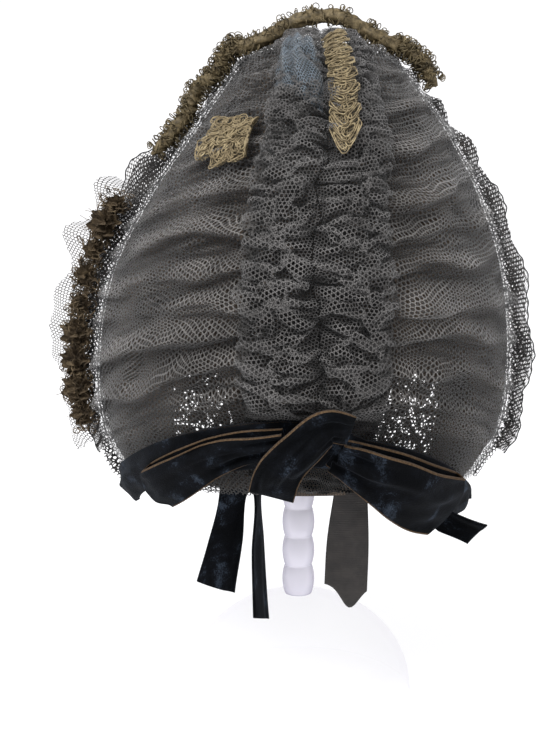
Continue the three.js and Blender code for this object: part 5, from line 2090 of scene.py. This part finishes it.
@dataclass
class ClearStand:
    """The clear stand: a solid dome for a foot, a beaded stem, and a dome under the crown."""

    foot_radius: float = 0.061
    foot_height: float = 0.055
    foot_rim: float = 0.0015
    bead: float = 0.0086
    neck: float = 0.0072
    pitch: float = 0.016
    beads: int = 5
    head_radius: float = 0.044

    def turned(self, name: str, profile: Array, sides: int, node: str, finish: Finish) -> Piece:
        """A profile of radius and height, carried round the axis and closed at its two ends.

        Args:
            name: the piece's name.
            profile: rows of radius and height that start and end on the axis.
            sides: steps round.
            node: the plain solid that it replaces.
            finish: its finish.

        Returns:
            The piece.
        """
        inner = profile[1:-1]
        angle = circle(sides)
        ring = np.stack([np.cos(angle), np.sin(angle), np.zeros(sides)], axis=-1)
        points = inner[:, None, :1] * ring[None] + inner[:, None, 1:] * np.array([0, 0, 1.0])
        poles = np.array([[0, 0, profile[0, 1]], [0, 0, profile[-1, 1]]])
        piece = mesh_object(name, *capped(points, poles))
        return dressed(piece, finish, "clear_acrylic", [node])

    def build(self) -> list[Piece]:
        """Foot, stem and head."""
        low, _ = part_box("stand_stem")
        head_low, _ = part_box("stand_head")
        turn = np.linspace(0, math.pi / 2, 40)
        dome = [self.foot_radius * np.cos(turn), mix(self.foot_rim, self.foot_height, np.sin(turn))]
        dome = np.stack(dome, 1)
        foot = np.concatenate([[[0, 0], [self.foot_radius - 0.0004, 0]], dome[:-1], [[0, self.foot_height]]])
        t = np.linspace(0, self.beads, self.beads * 24 + 1)
        swell = np.abs(np.sin(math.pi * t)) ** 0.8
        stem = np.stack([mix(self.neck, self.bead, swell), low[2] + t * self.pitch], 1)
        top = head_low[2] - 0.0007
        stem = np.concatenate([[[0, low[2]]], stem, [[self.neck, top]], [[0, top]]])
        cap = np.stack([self.head_radius * np.cos(turn), head_low[2] + self.head_radius * np.sin(turn)], 1)
        cap = np.concatenate([[[0, head_low[2]]], cap[:-1], [[0, head_low[2] + self.head_radius]]])
        return [
            self.turned("acrylic_foot", foot, 96, "stand_foot", FOOT_ACRYLIC),
            self.turned("acrylic_stem", stem, 48, "stand_stem", STEM_ACRYLIC),
            self.turned("acrylic_head", cap, 64, "stand_head", STEM_ACRYLIC),
        ]


# Studio


@dataclass
class Studio:
    """Camera, floor and lights: the photograph's viewpoint, and its soft light on a white sweep."""

    target: tuple = (-0.0125, -0.04, 0.188)
    distance: float = 0.85
    elevation: float = 12.0
    focal_pixels: float = 1700.0
    image_height: float = 733.0

    def camera(self) -> None:
        """The camera, level and upright, whose lens follows from the focal length in pixels."""
        data = bpy.data.cameras.new("photo_camera")
        data.sensor_width = 36.0
        data.lens = self.focal_pixels / self.image_height * 36.0
        data.clip_start = 0.01
        camera = bpy.data.objects.new("photo_camera", data)
        turn = math.radians(self.elevation)
        x, y, z = self.target
        camera.location = (x, y - self.distance * math.cos(turn), z + self.distance * math.sin(turn))
        camera.rotation_euler = (math.pi / 2 - turn, 0, 0)
        bpy.context.scene.collection.objects.link(camera)
        bpy.context.scene.camera = camera

    def light(self, name: str, place: tuple, size: float, power: float) -> None:
        """A square soft light that looks at the bonnet."""
        data = bpy.data.lights.new(name, "AREA")
        data.energy = power
        data.size = size
        lamp = bpy.data.objects.new(name, data)
        lamp.location = place
        way = np.array([0, 0, 0.2]) - np.array(place)
        flat = math.hypot(way[0], way[1])
        lamp.rotation_euler = (math.atan2(flat, -way[2]), 0, math.atan2(way[1], way[0]) - math.pi / 2)
        bpy.context.scene.collection.objects.link(lamp)

    def build(self) -> None:
        """All of it."""
        self.camera()
        turn = np.linspace(0, math.pi / 2, 24)
        run = np.concatenate([[-6.0], 1.2 + 1.6 * np.sin(turn), [2.8]])
        rise = np.concatenate([[0.0], 1.6 * (1 - np.cos(turn)), [6.0]])
        across = np.array([-7.0, 7.0])[None, :] + 0 * run[:, None]
        sweep = np.stack([across, run[:, None] + 0 * across, rise[:, None] + 0 * across], axis=-1)
        floor = mesh_object("studio_floor", sweep, grid_faces(len(run), 2))
        floor.data.materials.append(FLOOR.material())
        world = bpy.data.worlds.new("studio_world")
        world.use_nodes = True
        world.node_tree.nodes["Background"].inputs["Color"].default_value = linear("#fdfdff")
        world.node_tree.nodes["Background"].inputs["Strength"].default_value = 0.6
        bpy.context.scene.world = world
        bpy.context.scene.view_settings.view_transform = "Standard"
        self.light("key_light", (-0.45, -0.75, 1.4), 0.9, 30.0)
        self.light("fill_light", (1.0, -0.9, 0.6), 1.0, 4.0)


def main() -> None:
    """Builds the studio and then the bonnet, from its shell outwards."""
    logging.basicConfig(level=logging.INFO, format="%(message)s")
    Studio().build()
    StiffShell().build()
    WornBuckram().build()
    DrapedNet(LEFT_SWAGS, 11).build()
    DrapedNet(RIGHT_SWAGS, 14).build()
    RuchedNet().build()
    CrownLoop().build()
    FRILL.build()
    VelvetTrim().build()
    for lace in (SCALLOPS, STREAMER):
        lace.build()
    LaceRoll().build()
    Garland().build()
    ClearStand().build()


if __name__ == "__main__":
    main()
